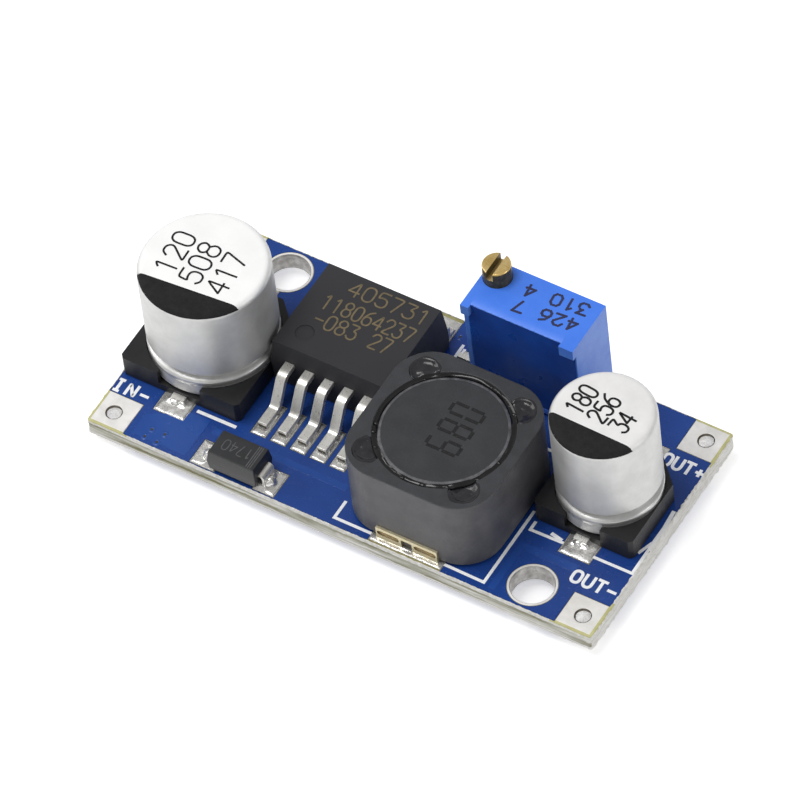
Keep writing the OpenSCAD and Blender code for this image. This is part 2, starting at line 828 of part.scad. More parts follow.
// rebate above the cavity, which carries the potting up between the corner tabs
module trimmer_rebate(y0, over) {
    translate([cavity_x0, y0, cavity_z1 - e])
        cube([cavity_x1 - cavity_x0, rebate_y - y0,
              trim_z + trim_h - trim_tab_h - cavity_z1 + e]);
    translate([trim_x + tab_left_w, y0, cavity_z1])
        cube([trim_l - tab_left_w - tab_right_w, rebate_y - y0,
              trim_z + trim_h - cavity_z1 + over]);
}

module trimmer_housing() {
    color("#3f74e0") difference() {
        union() {
            // block behind the recessed front, on two feet
            translate([trim_x, trim_face, trim_z + foot_h])
                cube([trim_l, trim_back_y - trim_face, trim_h - foot_h]);
            for (x = [0, trim_l - foot_w]) translate([trim_x + x, trim_front, trim_z])
                cube([foot_w, trim_d, foot_h + trim_floor / 2]);
            // corner tabs at the top
            for (x = [[0, tab_left_w], [trim_l - tab_right_w, tab_right_w]])
                translate([trim_x + x[0], trim_front, trim_z + trim_h - trim_tab_h])
                    cube([x[1], trim_d, trim_tab_h]);
        }
        // cavity, open to the front
        translate([cavity_x0, trim_front - e, cavity_z0])
            cube([cavity_x1 - cavity_x0, cavity_y1 - trim_front + e, cavity_z1 - cavity_z0]);
        trimmer_rebate(trim_front - e, e);
        // slots for the pins
        at_pins() translate([0, 0, trim_z - e]) cylinder(r = pin_r, h = trim_floor + 2 * e);
        // bore for the screw's head, and the blind seat of its end
        translate([screw_x, screw_y, cavity_z1 - e])
            cylinder(r = screw_bore_r, h = trim_roof + 2 * e);
        translate([screw_x, screw_y, shank_end - run])
            cylinder(r = lead_r + run, h = cavity_z0 - shank_end + run + e);
    }
}

module trimmer_potting() {
    color("#16296b") {
        translate([cavity_x0, trim_face + 0.05, cavity_z0])
            cube([cavity_x1 - cavity_x0, potting_t - 0.05, cavity_z1 - cavity_z0]);
        trimmer_rebate(trim_face + 0.05, 0);
    }
}

module trimmer_element() {
    color("#e8e4da") difference() {
        translate([cavity_x0 + 0.3, element_y, cavity_z0])
            cube([cavity_x1 - cavity_x0 - 0.6, element_t, cavity_z1 - cavity_z0 - 0.2]);
        at_pins() translate([0, 0, cavity_z0 - e]) cylinder(r = pin_r, h = 1.4 + e);
    }
}

// screw: slotted head with a groove for the seal, and the lead screw as one turned piece
module trimmer_screw() {
    top = trim_z + trim_h + screw_out;
    color("#c9a255") translate([screw_x, screw_y, 0]) difference() {
        rotate_extrude() difference() {
            union() {
                span(0, shank_end, lead_r, cavity_z1);
                span(0, cavity_z1 + run, screw_r, top - 0.12);
                span(0, cavity_z1, lead_r, top);
                span(0, cavity_z1 + run, screw_r - 0.12, top);
                translate([screw_r - 0.12, top - 0.12]) circle(0.12);
            }
            span(groove_r, ring_z - groove_h / 2, screw_r + 1, ring_z + groove_h / 2);
        }
        translate([-slot_w / 2, -2, top - slot_d]) cube([slot_w, 4, 2]);
    }
}

module trimmer_seal_ring() {
    color("#303030") translate([screw_x, screw_y, ring_z]) rotate_extrude()
        translate([groove_r + ring_sec + run / 2, 0]) circle(ring_sec);
}

// carriage: a nut on the lead screw with an arm towards the resistive element
module trimmer_carriage() {
    x0 = cavity_x0 + side_gap;
    color("#e9e6dc") translate([0, 0, carriage_z - carriage_h / 2]) difference() {
        union() {
            translate([x0, carriage_y0, 0])
                cube([screw_x + nut_out - x0, cavity_y1 - side_gap - carriage_y0, carriage_h]);
            translate([x0, carriage_y0, arm_inset])
                cube([arm_l, carriage_w, carriage_h - 2 * arm_inset]);
        }
        translate([screw_x, screw_y, -e]) cylinder(r = lead_r + run, h = carriage_h + 2 * e);
    }
}

// wiper: a sprung strip on the arm with a round contact against the ceramic
module trimmer_wiper() {
    x0 = screw_x + wiper_in;
    y1 = carriage_y0;
    y0 = element_y + element_t + contact_gap;
    color("#d8b46a") translate([0, 0, carriage_z]) {
        translate([x0, y1 - wiper_t, -wiper_w / 2]) cube([wiper_l, wiper_t, wiper_w]);
        translate([x0 + wiper_l - 2 * contact_r, (y0 + y1) / 2, 0]) rotate([90, 0, 0])
            cylinder(r = contact_r, h = y1 - y0, center = true);
    }
}

module trimmer_pin(k) {
    color("#d6d6d2") translate([pin_x + k * pin_pitch, pin_y, 0])
        cylinder(r = pin_r, h = cavity_z0 + 1.4);
}

module trimmer_pin_1() trimmer_pin(-1);
module trimmer_pin_2() trimmer_pin(0);
module trimmer_pin_3() trimmer_pin(1);

// solder of the pins: fills the plated holes and climbs the tails
module solder_trimmer() {
    up = pin_tail - (land_t - layer) - 0.15;
    color("#d9dad6") at_pins() rotate_extrude() {
        span(pin_r, z_core - land_t, pin_hole_r, z_land);
        difference() {
            span(pin_r, z_core - land_t - up, pin_land_r - 0.05, z_core - land_t);
            translate([pin_land_r - 0.05 + 0.25, z_core - land_t - up])
                circle(min(up, pin_land_r - 0.05 - pin_r) + 0.1);
        }
    }
}

// ---------- small resistor ----------

module resistor_chip() {
    color("#26262a") translate([res_x, res_y, seat + 0.28])
        cube([res_w - 0.06, res_l - 0.06, 0.46], center = true);
}

module resistor_caps() {
    color("#d6d6d2") difference() {
        for (s = [-1, 1]) translate([res_x, res_y + s * (res_l / 2 - 0.2), seat + 0.28])
            cube([res_w, 0.4, 0.56], center = true);
        translate([res_x, res_y, seat + 0.28])
            cube([res_w - 0.06, res_l - 0.06, 0.46], center = true);
    }
}

module solder_resistor() {
    color("#d9dad6") for (s = [-1, 1]) {
        translate([res_x, res_y + s * 1.05, z_land + film / 2])
            cube([res_w, 1.1, film], center = true);
        translate([res_x - res_w / 2 + 0.1, res_y + s * res_l / 2, seat])
            rotate([90, 0, s > 0 ? 90 : -90])
                translate([0, 0, s > 0 ? 0 : -(res_w - 0.2)]) linear_extrude(res_w - 0.2)
                    difference() {
                        span(0, 0, 0.35, 0.35);
                        translate([0.35, 0.35]) circle(0.35);
                    }
    }
}

board_laminate();
solder_mask_top();
solder_mask_bottom();
wire_pad_in_minus();
wire_pad_in_plus();
wire_pad_out_minus();
wire_pad_out_plus();
mounting_rim_back();
mounting_rim_front();
surface_lands();
trimmer_lands();
input_cap_can();
input_cap_base();
input_cap_bung();
input_cap_winding();
input_cap_lead_minus();
input_cap_lead_plus();
output_cap_can();
output_cap_base();
output_cap_bung();
output_cap_winding();
output_cap_lead_minus();
output_cap_lead_plus();
regulator_body();
regulator_tab();
regulator_lead_1();
regulator_lead_2();
regulator_lead_3();
regulator_lead_4();
regulator_lead_5();
diode_body();
diode_lead_anode();
diode_lead_cathode();
inductor_shield();
inductor_core();
inductor_winding();
inductor_glue();
inductor_terminal_front();
inductor_terminal_back();
trimmer_housing();
trimmer_potting();
trimmer_element();
trimmer_screw();
trimmer_seal_ring();
trimmer_carriage();
trimmer_wiper();
trimmer_pin_1();
trimmer_pin_2();
trimmer_pin_3();
resistor_chip();
resistor_caps();
solder_input_cap();
solder_output_cap();
solder_regulator();
solder_diode();
solder_inductor();
solder_trimmer();
solder_resistor();
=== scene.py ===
"""Looks of a step-down converter module: a small circuit board and the parts soldered to it.

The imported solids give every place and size. This script gives them rounded edges, solder, print,
rough laminate and the finishes of the real materials, and sets up a plain studio round them.
"""
import logging
import math
import random
from dataclasses import dataclass, field, replace
from enum import Enum
from typing import Sequence

import bmesh
import bpy
from mathutils import Matrix, Vector, noise


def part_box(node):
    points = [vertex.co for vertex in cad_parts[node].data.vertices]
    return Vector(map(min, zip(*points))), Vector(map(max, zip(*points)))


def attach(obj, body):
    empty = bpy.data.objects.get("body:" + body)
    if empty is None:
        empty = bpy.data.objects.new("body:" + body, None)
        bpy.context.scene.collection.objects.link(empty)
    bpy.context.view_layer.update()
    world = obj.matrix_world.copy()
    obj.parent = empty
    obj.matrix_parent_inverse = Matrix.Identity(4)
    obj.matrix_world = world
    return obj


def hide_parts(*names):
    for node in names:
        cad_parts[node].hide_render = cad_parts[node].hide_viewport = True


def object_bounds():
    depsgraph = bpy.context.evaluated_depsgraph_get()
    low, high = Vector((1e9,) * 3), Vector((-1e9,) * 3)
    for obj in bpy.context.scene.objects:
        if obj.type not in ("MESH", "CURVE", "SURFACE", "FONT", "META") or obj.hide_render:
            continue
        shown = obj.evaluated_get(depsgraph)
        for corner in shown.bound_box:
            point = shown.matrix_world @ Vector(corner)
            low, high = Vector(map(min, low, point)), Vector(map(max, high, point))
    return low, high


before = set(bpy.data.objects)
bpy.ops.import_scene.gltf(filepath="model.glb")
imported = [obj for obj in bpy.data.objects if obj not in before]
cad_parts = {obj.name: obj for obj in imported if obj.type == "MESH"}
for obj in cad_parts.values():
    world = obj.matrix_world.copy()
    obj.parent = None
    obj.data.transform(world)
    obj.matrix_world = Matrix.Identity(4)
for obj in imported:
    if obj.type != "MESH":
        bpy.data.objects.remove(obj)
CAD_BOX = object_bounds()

LOG = logging.getLogger("module")
# Metres in a millimetre, and the start of the random draws.
MM = 0.001
SEED = 41
# Gap between a face and the ink on it, in millimetres.
INK_GAP = 0.001
# Angles in degrees: an edge this sharp is rounded, and faces this close to flat are joined.
CORNER_DEG = 32
FLAT_DEG = 0.4
Point = tuple[float, float]
Point3 = tuple[float, float, float]
Face = tuple[int, ...]
Tree = bpy.types.NodeTree
Socket = bpy.types.NodeSocket


class Body(str, Enum):
    """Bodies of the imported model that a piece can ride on."""

    BOARD = "board_assembly"


class Pen(Enum):
    """Ways of drawing a character on a part."""

    SOLID = "solid line"
    DOTTED = "row of dots"


# ---------------------------------------------------------------- shared tools


def linear(colour: str) -> tuple[float, float, float, float]:
    """Turns an sRGB hex colour to linear light.

    Args:
        colour: Hex colour such as "#2040a0".

    Returns:
        Red, green, blue and an alpha of 1.
    """
    parts = [int(colour[i : i + 2], 16) / 255 for i in (1, 3, 5)]
    low = [c / 12.92 if c <= 0.04045 else ((c + 0.055) / 1.055) ** 2.4 for c in parts]
    return (low[0], low[1], low[2], 1.0)


def add_node(
    tree: Tree, kind: str, inputs: dict[str | int, object] | None = None
) -> bpy.types.Node:
    """Adds a shader node with its settings and links.

    Args:
        tree: Node tree that takes the node.
        kind: Blender's name of the node type.
        inputs: What goes to each input, by its name or number: a value, a hex colour or another
            node's socket. A name that no input has is a property of the node.

    Returns:
        The new node.
    """
    made = tree.nodes.new(kind)
    for key, value in (inputs or {}).items():
        if isinstance(value, Socket):
            tree.links.new(value, made.inputs[key])
        elif isinstance(key, int) or key in made.inputs:
            hex_colour = isinstance(value, str) and value.startswith("#")
            made.inputs[key].default_value = linear(value) if hex_colour else value
        else:
            setattr(made, key, value)
    return made


@dataclass(frozen=True)
class Box:
    """Lowest and highest corner of a solid, in millimetres."""

    lo: Vector
    hi: Vector

    @classmethod
    def of(cls, node: str) -> "Box":
        """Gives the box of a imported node."""
        lo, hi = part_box(node)
        return cls(lo / MM, hi / MM)

    @classmethod
    def span(cls, spots: Sequence[Vector]) -> "Box":
        """Gives the box round some points."""
        lo, hi = (Vector([pick(p[i] for p in spots) for i in range(3)]) for pick in (min, max))
        return cls(lo, hi)

    @property
    def mid(self) -> Vector:
        """Centre of the box."""
        return (self.lo + self.hi) / 2

    @property
    def size(self) -> Vector:
        """Length of the box along each axis."""
        return self.hi - self.lo

    def holds(self, x: float, y: float, slack: float = 0.0) -> bool:
        """Says whether a point lies over the box, seen from above.

        Args:
            x: Place from left to right.
            y: Place from front to back.
            slack: How far past the box still counts. It is negative for a smaller box.

        Returns:
            True where the point lies over it.
        """
        return (
            self.lo.x - slack <= x <= self.hi.x + slack
            and self.lo.y - slack <= y <= self.hi.y + slack
        )


def islands(node: str) -> list[Box]:
    """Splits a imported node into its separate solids.

    Args:
        node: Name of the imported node.

    Returns:
        The box of each solid, from left to right.
    """
    whole = bmesh.new()
    whole.from_mesh(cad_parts[node].data)
    bmesh.ops.remove_doubles(whole, verts=whole.verts, dist=1e-7)
    seen: set[bmesh.types.BMVert] = set()
    boxes = []
    for start in whole.verts:
        if start in seen:
            continue
        seen.add(start)
        found = [start]
        for vert in found:
            near = [e.other_vert(vert) for e in vert.link_edges]
            fresh = [v for v in near if v not in seen]
            seen.update(fresh)
            found += fresh
        boxes.append(Box.span([v.co / MM for v in found]))
    whole.free()
    return sorted(boxes, key=lambda b: b.mid.x)


def nearest(lands: Sequence[Box], x: float, y: float) -> Box:
    """Gives the land whose middle is nearest to a point."""
    return min(lands, key=lambda b: (b.mid.xy - Vector((x, y))).length)


def around(centre: Sequence[float], reach: float, angle: float, level: float) -> Point3:
    """Gives the point at a distance and angle from an upright axis, at a level."""
    return (centre[0] + reach * math.cos(angle), centre[1] + reach * math.sin(angle), level)


def waves(x: float, y: float, z: float) -> float:
    """Gives smooth noise at a place, from about -1 to 1."""
    return noise.noise(Vector((x, y, z)))


def sheet(
    rows: int, width: int, first: int = 0, loop_rows: bool = False, loop_width: bool = False
) -> list[Face]:
    """Gives the faces between rows of points.

    Args:
        rows: Number of rows.
        width: Number of points in a row.
        first: Number of the first point.
        loop_rows: Whether the last row joins the first.
        loop_width: Whether each row's last point joins its first.

    Returns:
        Four-cornered faces.
    """
    faces = []
    for r in range(rows if loop_rows else rows - 1):
        a, b = first + r * width, first + (r + 1) % rows * width
        for k in range(width if loop_width else width - 1):
            n = (k + 1) % width
            faces.append((a + k, a + n, b + n, b + k))
    return faces


# ---------------------------------------------------------------- finishes


@dataclass(frozen=True)
class Finish:
    """A surface made in one way: its two tones, gloss, grain and relief.

    Sizes are the real ones in millimetres. The second tone shows in soft patches.
    """

    name: str
    slot: str
    colour: str
    tint: str
    roughness: float = 0.5
    roughness_swing: float = 0.08
    metallic: float = 0.0
    ior: float = 1.5
    specular: float = 0.5
    patch_mm: float = 3.0
    grain_mm: float = 0.2
    relief_mm: float = 0.004
    stretch: Point3 = (1.0, 1.0, 1.0)

    def material(self) -> bpy.types.Material:
        """Makes the material once and returns it after that.

        Returns:
            The material.
        """
        known = bpy.data.materials.get(self.name)
        if known:
            return known
        made = bpy.data.materials.new(self.name)
        made.use_nodes = True
        made.diffuse_color = linear(self.colour)
        tree = made.node_tree
        tree.nodes.clear()
        shader = add_node(tree, "ShaderNodeBsdfPrincipled", {
            "Metallic": self.metallic, "IOR": self.ior, "Specular IOR Level": self.specular,
        })
        add_node(tree, "ShaderNodeOutputMaterial", {"Surface": shader.outputs[0]})
        self.paint(tree, shader, self.place(tree, self.stretch))
        return made

    def place(self, tree: Tree, scale: Point3) -> Socket:
        """Gives places on the object, scaled along each axis.

        Args:
            tree: Node tree that takes the nodes.
            scale: Scale along each axis.

        Returns:
            The socket that gives the places.
        """
        spot = add_node(tree, "ShaderNodeTexCoord")
        drawn = {"Scale": scale, "Vector": spot.outputs["Object"]}
        return add_node(tree, "ShaderNodeMapping", drawn).outputs[0]

    def mottle(
        self, tree: Tree, place: Socket, size_mm: float, detail: float, edges: Point,
        first: str | Socket, second: str, most: float = 1.0,
    ) -> tuple[Socket, Socket]:
        """Mixes two tones in soft patches.

        Args:
            tree: Node tree that takes the pattern.
            place: Places on the object.
            size_mm: Real size of a patch.
            detail: Number of finer layers.
            edges: Values of the pattern where a patch begins and where it is full.
            first: Tone between the patches.
            second: Tone of the patches.
            most: Share of the second tone in a full patch.

        Returns:
            The colour and the pattern behind it.
        """
        cells = add_node(tree, "ShaderNodeTexNoise", {
            "Scale": 1 / (size_mm * MM), "Detail": detail, "Roughness": 0.6, "Vector": place,
        }).outputs["Fac"]
        share = add_node(tree, "ShaderNodeMapRange", {
            "From Min": edges[0], "From Max": edges[1], "To Max": most, "Value": cells,
        }).outputs[0]
        mix = {"data_type": "RGBA", 0: share, 6: first, 7: second}
        return add_node(tree, "ShaderNodeMix", mix).outputs[2], cells

    def polish(
        self, tree: Tree, shader: bpy.types.Node, pattern: Socket, edges: Point, height: Socket
    ) -> None:
        """Lets one pattern swing the gloss and another raise the surface by a real depth.

        Args:
            tree: Node tree that takes the nodes.
            shader: The surface's shader.
            pattern: Pattern that swings the gloss.
            edges: Values of the pattern at the least and the most roughness.
            height: Pattern that raises the surface.
        """
        gloss = add_node(tree, "ShaderNodeMapRange", {
            "From Min": edges[0], "From Max": edges[1], "Value": pattern,
            "To Min": self.roughness - self.roughness_swing,
            "To Max": self.roughness + self.roughness_swing,
        })
        bump = add_node(tree, "ShaderNodeBump", {
            "Strength": 1.0, "Distance": self.relief_mm * MM, "Height": height,
        })
        tree.links.new(gloss.outputs[0], shader.inputs["Roughness"])
        tree.links.new(bump.outputs[0], shader.inputs["Normal"])

    def paint(self, tree: Tree, shader: bpy.types.Node, place: Socket) -> None:
        """Paints tone, gloss and grain. Special finishes replace this.

        Args:
            tree: Node tree that takes the nodes.
            shader: The surface's shader.
            place: Places on the object.
        """
        tone, _ = self.mottle(tree, place, self.patch_mm, 4, (0.35, 0.65), self.colour, self.tint)
        tree.links.new(tone, shader.inputs["Base Color"])
        grain = add_node(tree, "ShaderNodeTexNoise", {
            "Scale": 1 / (self.grain_mm * MM), "Detail": 3, "Roughness": 0.6, "Vector": place,
        }).outputs["Fac"]
        self.polish(tree, shader, grain, (0.3, 0.7), grain)


@dataclass(frozen=True)
class SidedFinish(Finish):
    """A finish whose upright sides look unlike its level faces: a real difference in some finishes,
    painted light and shade in others.
    """

    side: str = "#808080"
    side_tint: str = "#909090"
    fleck: str = "#ffffff"
    fleck_share: float = 0.0
    layer_mm: float = 0.0
    level_metallic: float | None = None
    level_from: float = 0.3
    level_to: float = 0.75
    one_way: bool = False

    def paint(self, tree: Tree, shader: bpy.types.Node, place: Socket) -> None:
        """Paints the level faces in one pair of tones and the sides in another.

        Args:
            tree: Node tree that takes the nodes.
            shader: The surface's shader.
            place: Places on the object.
        """
        level, _ = self.mottle(tree, place, self.patch_mm, 5, (0.35, 0.65), self.colour, self.tint)
        side_place, side_mm = place, self.patch_mm
        if self.layer_mm:
            side_place, side_mm = self.place(tree, (0.25, 0.25, 1 / self.layer_mm)), 0.4
        upright, fibre = self.mottle(
            tree, side_place, side_mm, 6, (0.38, 0.62), self.side, self.side_tint
        )
        facing = add_node(tree, "ShaderNodeNewGeometry").outputs["True Normal"]
        lift = add_node(tree, "ShaderNodeSeparateXYZ", {0: facing}).outputs["Z"]
        if not self.one_way:
            lift = add_node(tree, "ShaderNodeMath", {"operation": "ABSOLUTE", 0: lift}).outputs[0]
        up = add_node(tree, "ShaderNodeMapRange", {
            "From Min": self.level_from, "From Max": self.level_to, "Value": lift,
        }).outputs[0]
        if self.level_metallic is not None:
            metal = add_node(tree, "ShaderNodeMapRange", {
                "To Min": self.metallic, "To Max": self.level_metallic, "Value": up,
            })
            tree.links.new(metal.outputs[0], shader.inputs["Metallic"])
        mix = {"data_type": "RGBA", 0: up, 6: upright, 7: level}
        both = add_node(tree, "ShaderNodeMix", mix).outputs[2]
        if self.fleck_share:
            both, _ = self.mottle(
                tree, place, self.grain_mm * 0.6, 1, (0.70, 0.76), both, self.fleck,
                self.fleck_share,
            )
        tree.links.new(both, shader.inputs["Base Color"])
        grain = height = add_node(tree, "ShaderNodeTexNoise", {
            "Scale": 1 / (self.grain_mm * MM), "Detail": 4, "Roughness": 0.6, "Vector": place,
        }).outputs["Fac"]
        if self.layer_mm:
            sum_of_both = {"operation": "ADD", 0: grain, 1: fibre}
            height = add_node(tree, "ShaderNodeMath", sum_of_both).outputs[0]
        self.polish(tree, shader, grain, (0.3, 0.7), height)


@dataclass(frozen=True)
class TurnedFinish(Finish):
    """Metal turned on a lathe: fine rings round one upright axis."""

    axis: Point = (0.0, 0.0)
    ring_mm: float = 0.12

    def paint(self, tree: Tree, shader: bpy.types.Node, place: Socket) -> None:
        """Paints tool rings over the metal's own tones.

        Args:
            tree: Node tree that takes the nodes.
            shader: The surface's shader.
            place: Places on the object.
        """
        tone, _ = self.mottle(tree, place, self.patch_mm, 4, (0.4, 0.62), self.colour, self.tint)
        tree.links.new(tone, shader.inputs["Base Color"])
        off_axis = (-self.axis[0] * MM, -self.axis[1] * MM, 0)
        centred = add_node(tree, "ShaderNodeMapping", {"Location": off_axis, "Vector": place})
        rings = add_node(tree, "ShaderNodeTexWave", {
            "wave_type": "RINGS", "rings_direction": "Z", "Distortion": 0.6, "Detail": 2.0,
            "Scale": math.tau / (20 * self.ring_mm * MM), "Vector": centred.outputs[0],
        }).outputs["Fac"]
        self.polish(tree, shader, rings, (0, 1), rings)


# Glass-epoxy laminate, sawn: the cut shows pale broken glass fibre, the bare face olive resin.
LAMINATE = SidedFinish(
    "laminate_glass_epoxy", "fr4", "#a39d6a", "#8b8550", roughness=0.62, patch_mm=1.2,
    grain_mm=0.12, relief_mm=0.09, side="#f8f7f4", side_tint="#dddbd3", fleck="#ffffff",
    fleck_share=0.9, layer_mm=0.4,
)
# The same laminate where the saw has torn white fibre out along the rim.
TORN_FIBRE = Finish(
    "laminate_torn_fibre", "fr4", "#f7f6f3", "#dbd9d0", roughness=0.75, patch_mm=0.4,
    grain_mm=0.1, relief_mm=0.12,
)
# The long sawn edge: olive resin shows between pale fibre in streaks along the cut.
SAWN_RESIN = Finish(
    "laminate_sawn_resin", "fr4", "#75724a", "#efeee8", roughness=0.7, patch_mm=0.55,
    grain_mm=0.12, relief_mm=0.06, stretch=(0.07, 1.0, 1.0),
)
# Bare laminate beside the pads, where no mask lies.
BARE_RESIN = Finish(
    "laminate_bare", "fr4", "#c9c68f", "#b9b57c", roughness=0.5, patch_mm=0.8, grain_mm=0.15,
)
# Liquid solder mask, screened and cured: smooth blue gloss that sinks a little over the weave.
MASK = Finish(
    "solder_mask_blue", "solder_mask", "#214691", "#1b3d84", roughness=0.24, specular=0.34,
    patch_mm=7.0, grain_mm=0.8, relief_mm=0.006,
)
# The same mask where copper lies under it, a shade lighter.
MASK_OVER_COPPER = Finish(
    "solder_mask_over_copper", "solder_mask", "#244c98", "#20458f", roughness=0.22, specular=0.34,
    patch_mm=5.0, grain_mm=0.9, relief_mm=0.005,
)
# Hot-air levelled tin on copper: bright, cloudy and slightly wavy.
LEVELLED_TIN = Finish(
    "levelled_tin", "tinned_land", "#f6f4f1", "#e6e3de", roughness=0.46, roughness_swing=0.14,
    metallic=0.35, patch_mm=1.6, grain_mm=0.45, relief_mm=0.01,
)
# Bare tinned land that no lead covers, rough from the reflow.
ROUGH_TIN = Finish(
    "reflowed_tin", "tinned_land", "#e8e6e1", "#b7b5af", roughness=0.38, roughness_swing=0.16,
    metallic=0.6, patch_mm=0.35, grain_mm=0.2, relief_mm=0.05,
)
# Tin plating on a drilled barrel, dulled and pitted.
BARREL_TIN = Finish(
    "barrel_tin", "tinned_land", "#d2d0cc", "#9c9995", roughness=0.4, roughness_swing=0.14,
    metallic=0.55, patch_mm=0.7, grain_mm=0.2, relief_mm=0.03,
)
# The same plating in the wire holes, painted brighter for the white floor's light that shows
# through them.
FLOOR_LIT_BARREL = replace(
    BARREL_TIN, name="barrel_tin_painted_floor_light", colour="#ffffff", tint="#e4e2df", metallic=0.85,
    roughness=0.3, grain_mm=0.3, relief_mm=0.05,
)
# Darker brown brass on the screw head's upright rim: painted shade.
BRASS_PAINTED_SHADE = Finish(
    "brass_painted_shade_rim", "brass", "#6f6240", "#4d442c", roughness=0.42, metallic=0.6,
    specular=0.3, patch_mm=0.5, grain_mm=0.15,
)
# Reflowed solder: liquid metal that froze smooth, with small dark sinks.
SOLDER = Finish(
    "reflowed_solder", "solder", "#efeeeb", "#c9c7c3", roughness=0.22, roughness_swing=0.08,
    metallic=0.75, patch_mm=0.5, grain_mm=0.25, relief_mm=0.014,
)
# Matt tin plate on stamped copper alloy leads.
TIN_PLATE = Finish(
    "matt_tin_plate", "tinned_lead", "#f0efea", "#dbd9d2", roughness=0.33, metallic=0.75,
    patch_mm=0.8, grain_mm=0.12, relief_mm=0.006, stretch=(1.0, 0.4, 0.4),
)
# Drawn aluminium with a thin clear film: satin, with faint marks drawn up the wall. Faces that look
# up are painted near white and almost without metal: a painted highlight on the tops.
CAN_ALUMINIUM = SidedFinish(
    "drawn_aluminium", "can_aluminium", "#fefefd", "#f8f8f7", roughness=0.46,
    roughness_swing=0.05, metallic=0.7, patch_mm=2.5, grain_mm=0.12, relief_mm=0.006,
    side="#d6d6d4", side_tint="#c9c9c7", level_metallic=0.05, level_from=0.55, level_to=0.9,
    one_way=True,
)
# The smaller can's painted tops are a shade greyer.
CAN_ALUMINIUM_GREY = replace(
    CAN_ALUMINIUM, name="drawn_aluminium_grey", colour="#efeeed", tint="#e4e3e2"
)
# The same metal where the roller has polished the foot.
ROLLED_ALUMINIUM = Finish(
    "rolled_aluminium", "can_aluminium", "#cfcfcd", "#bfbfbd", roughness=0.36, metallic=0.8,
    patch_mm=1.5, grain_mm=0.12, relief_mm=0.004,
)
# Moulded heat-proof plastic of the bases: black and faintly shiny.
BASE_PLASTIC = Finish(
    "moulded_base_plastic", "base_plastic", "#19191b", "#212123", roughness=0.45, specular=0.35,
    patch_mm=2.0, grain_mm=0.15, relief_mm=0.008,
)
# Moulded butyl rubber of the bungs.
BUNG_RUBBER = Finish(
    "moulded_rubber", "bung_rubber", "#242424", "#303030", roughness=0.7, grain_mm=0.15,
)
# Paper and foil winding.
FOIL = Finish("wound_foil", "foil_winding", "#b08d57", "#9a7a4a", roughness=0.5, metallic=0.3)
# Transfer-moulded epoxy: spark-eroded tool leaves a fine even grain. The upright sides are painted
# darker than the top: painted shade.
MOULDED_EPOXY = SidedFinish(
    "moulded_epoxy", "moulded_epoxy", "#3c3d40", "#434448", roughness=0.5, patch_mm=2.5,
    grain_mm=0.11, relief_mm=0.014, side="#1d1e20", side_tint="#27282b",
)
# Smaller package from a polished tool, darker and smoother. Its sides are painted a little darker
# than its top: painted shade.
DIODE_EPOXY = SidedFinish(
    "moulded_epoxy_smooth", "moulded_epoxy", "#202123", "#28292b", roughness=0.42, patch_mm=1.5,
    grain_mm=0.1, relief_mm=0.008, side="#161719", side_tint="#1e1f21",
)
# Pressed and ground ferrite: dark top with bright grit, the pressed sides smoother. The sides are
# painted paler than the top, for the light that they catch.
FERRITE = SidedFinish(
    "pressed_ferrite", "ferrite", "#303134", "#393a3e", roughness=0.45, specular=0.42,
    patch_mm=1.6, grain_mm=0.1, relief_mm=0.012, side="#515154", side_tint="#464649",
    fleck="#9a9a9d", fleck_share=0.22,
)
# The core's top is ground flat and lacquered. Its sides and rounded rim are painted paler than the
# top: a painted highlight.
FERRITE_CORE = SidedFinish(
    "ground_ferrite", "ferrite", "#2e2f32", "#36373a", roughness=0.4, specular=0.42, patch_mm=2.4,
    grain_mm=0.14, relief_mm=0.01, side="#6a6a6d", side_tint="#4c4c4f", fleck="#7d7d80",
    fleck_share=0.15, level_from=0.7, level_to=0.94,
)
# Ferrite painted pale in a thin ring along the core's top edge: a painted highlight.
FERRITE_RIM_HIGHLIGHT = Finish(
    "ferrite_painted_rim_highlight", "ferrite", "#66666a", "#3c3d40", roughness=0.55, patch_mm=0.7, grain_mm=0.12,
    relief_mm=0.015,
)
# Enamelled winding wire.
ENAMELLED_COPPER = Finish(
    "enamelled_copper", "copper_wire", "#9c5a33", "#7f4526", roughness=0.3, metallic=0.8,
)
# Poured black epoxy glue, glossy and lumpy.
GLUE = Finish(
    "poured_black_glue", "black_glue", "#0e0e10", "#141416", roughness=0.14, roughness_swing=0.06,
    specular=0.45, patch_mm=0.8, grain_mm=0.6, relief_mm=0.02,
)
# The same glue pooled in the corner pockets, painted a lighter grey than the glue in the ring: a
# painted sheen.
POOLED_GLUE = replace(
    GLUE, name="pooled_glue_painted_sheen", colour="#212124", tint="#2b2b2e", roughness=0.2
)
# Tinned terminal plate of the inductor, warm where the flux has stained it.
TERMINAL = Finish(
    "terminal_plate", "terminal_plate", "#f0ead6", "#d8caa2", roughness=0.34, metallic=0.45,
    patch_mm=0.7, grain_mm=0.25, relief_mm=0.02,
)
# Flux resin left in the terminal's windows.
FLUX = Finish(
    "flux_resin", "terminal_plate", "#a58a55", "#6b5430", roughness=0.25, patch_mm=0.4,
    grain_mm=0.2, relief_mm=0.02,
)
# Moulded blue thermoplastic of the trimmer: bright top, paler sides under the light.
TRIMMER_BLUE = SidedFinish(
    "moulded_blue_plastic", "blue_plastic", "#3f7bea", "#4681ef", roughness=0.42, patch_mm=2.0,
    grain_mm=0.12, relief_mm=0.008, side="#4c7ddc", side_tint="#5d8be2",
)
# Poured blue epoxy that seals the trimmer's open face: dark, deep and glossy.
POTTING = Finish(
    "poured_blue_epoxy", "blue_potting", "#1e4ca6", "#193f90", roughness=0.34, specular=0.4,
    patch_mm=3.0, grain_mm=1.6, relief_mm=0.003,
)
# Fired alumina.
ALUMINA = Finish("fired_alumina", "ceramic", "#e8e4da", "#dcd7ca", roughness=0.55)
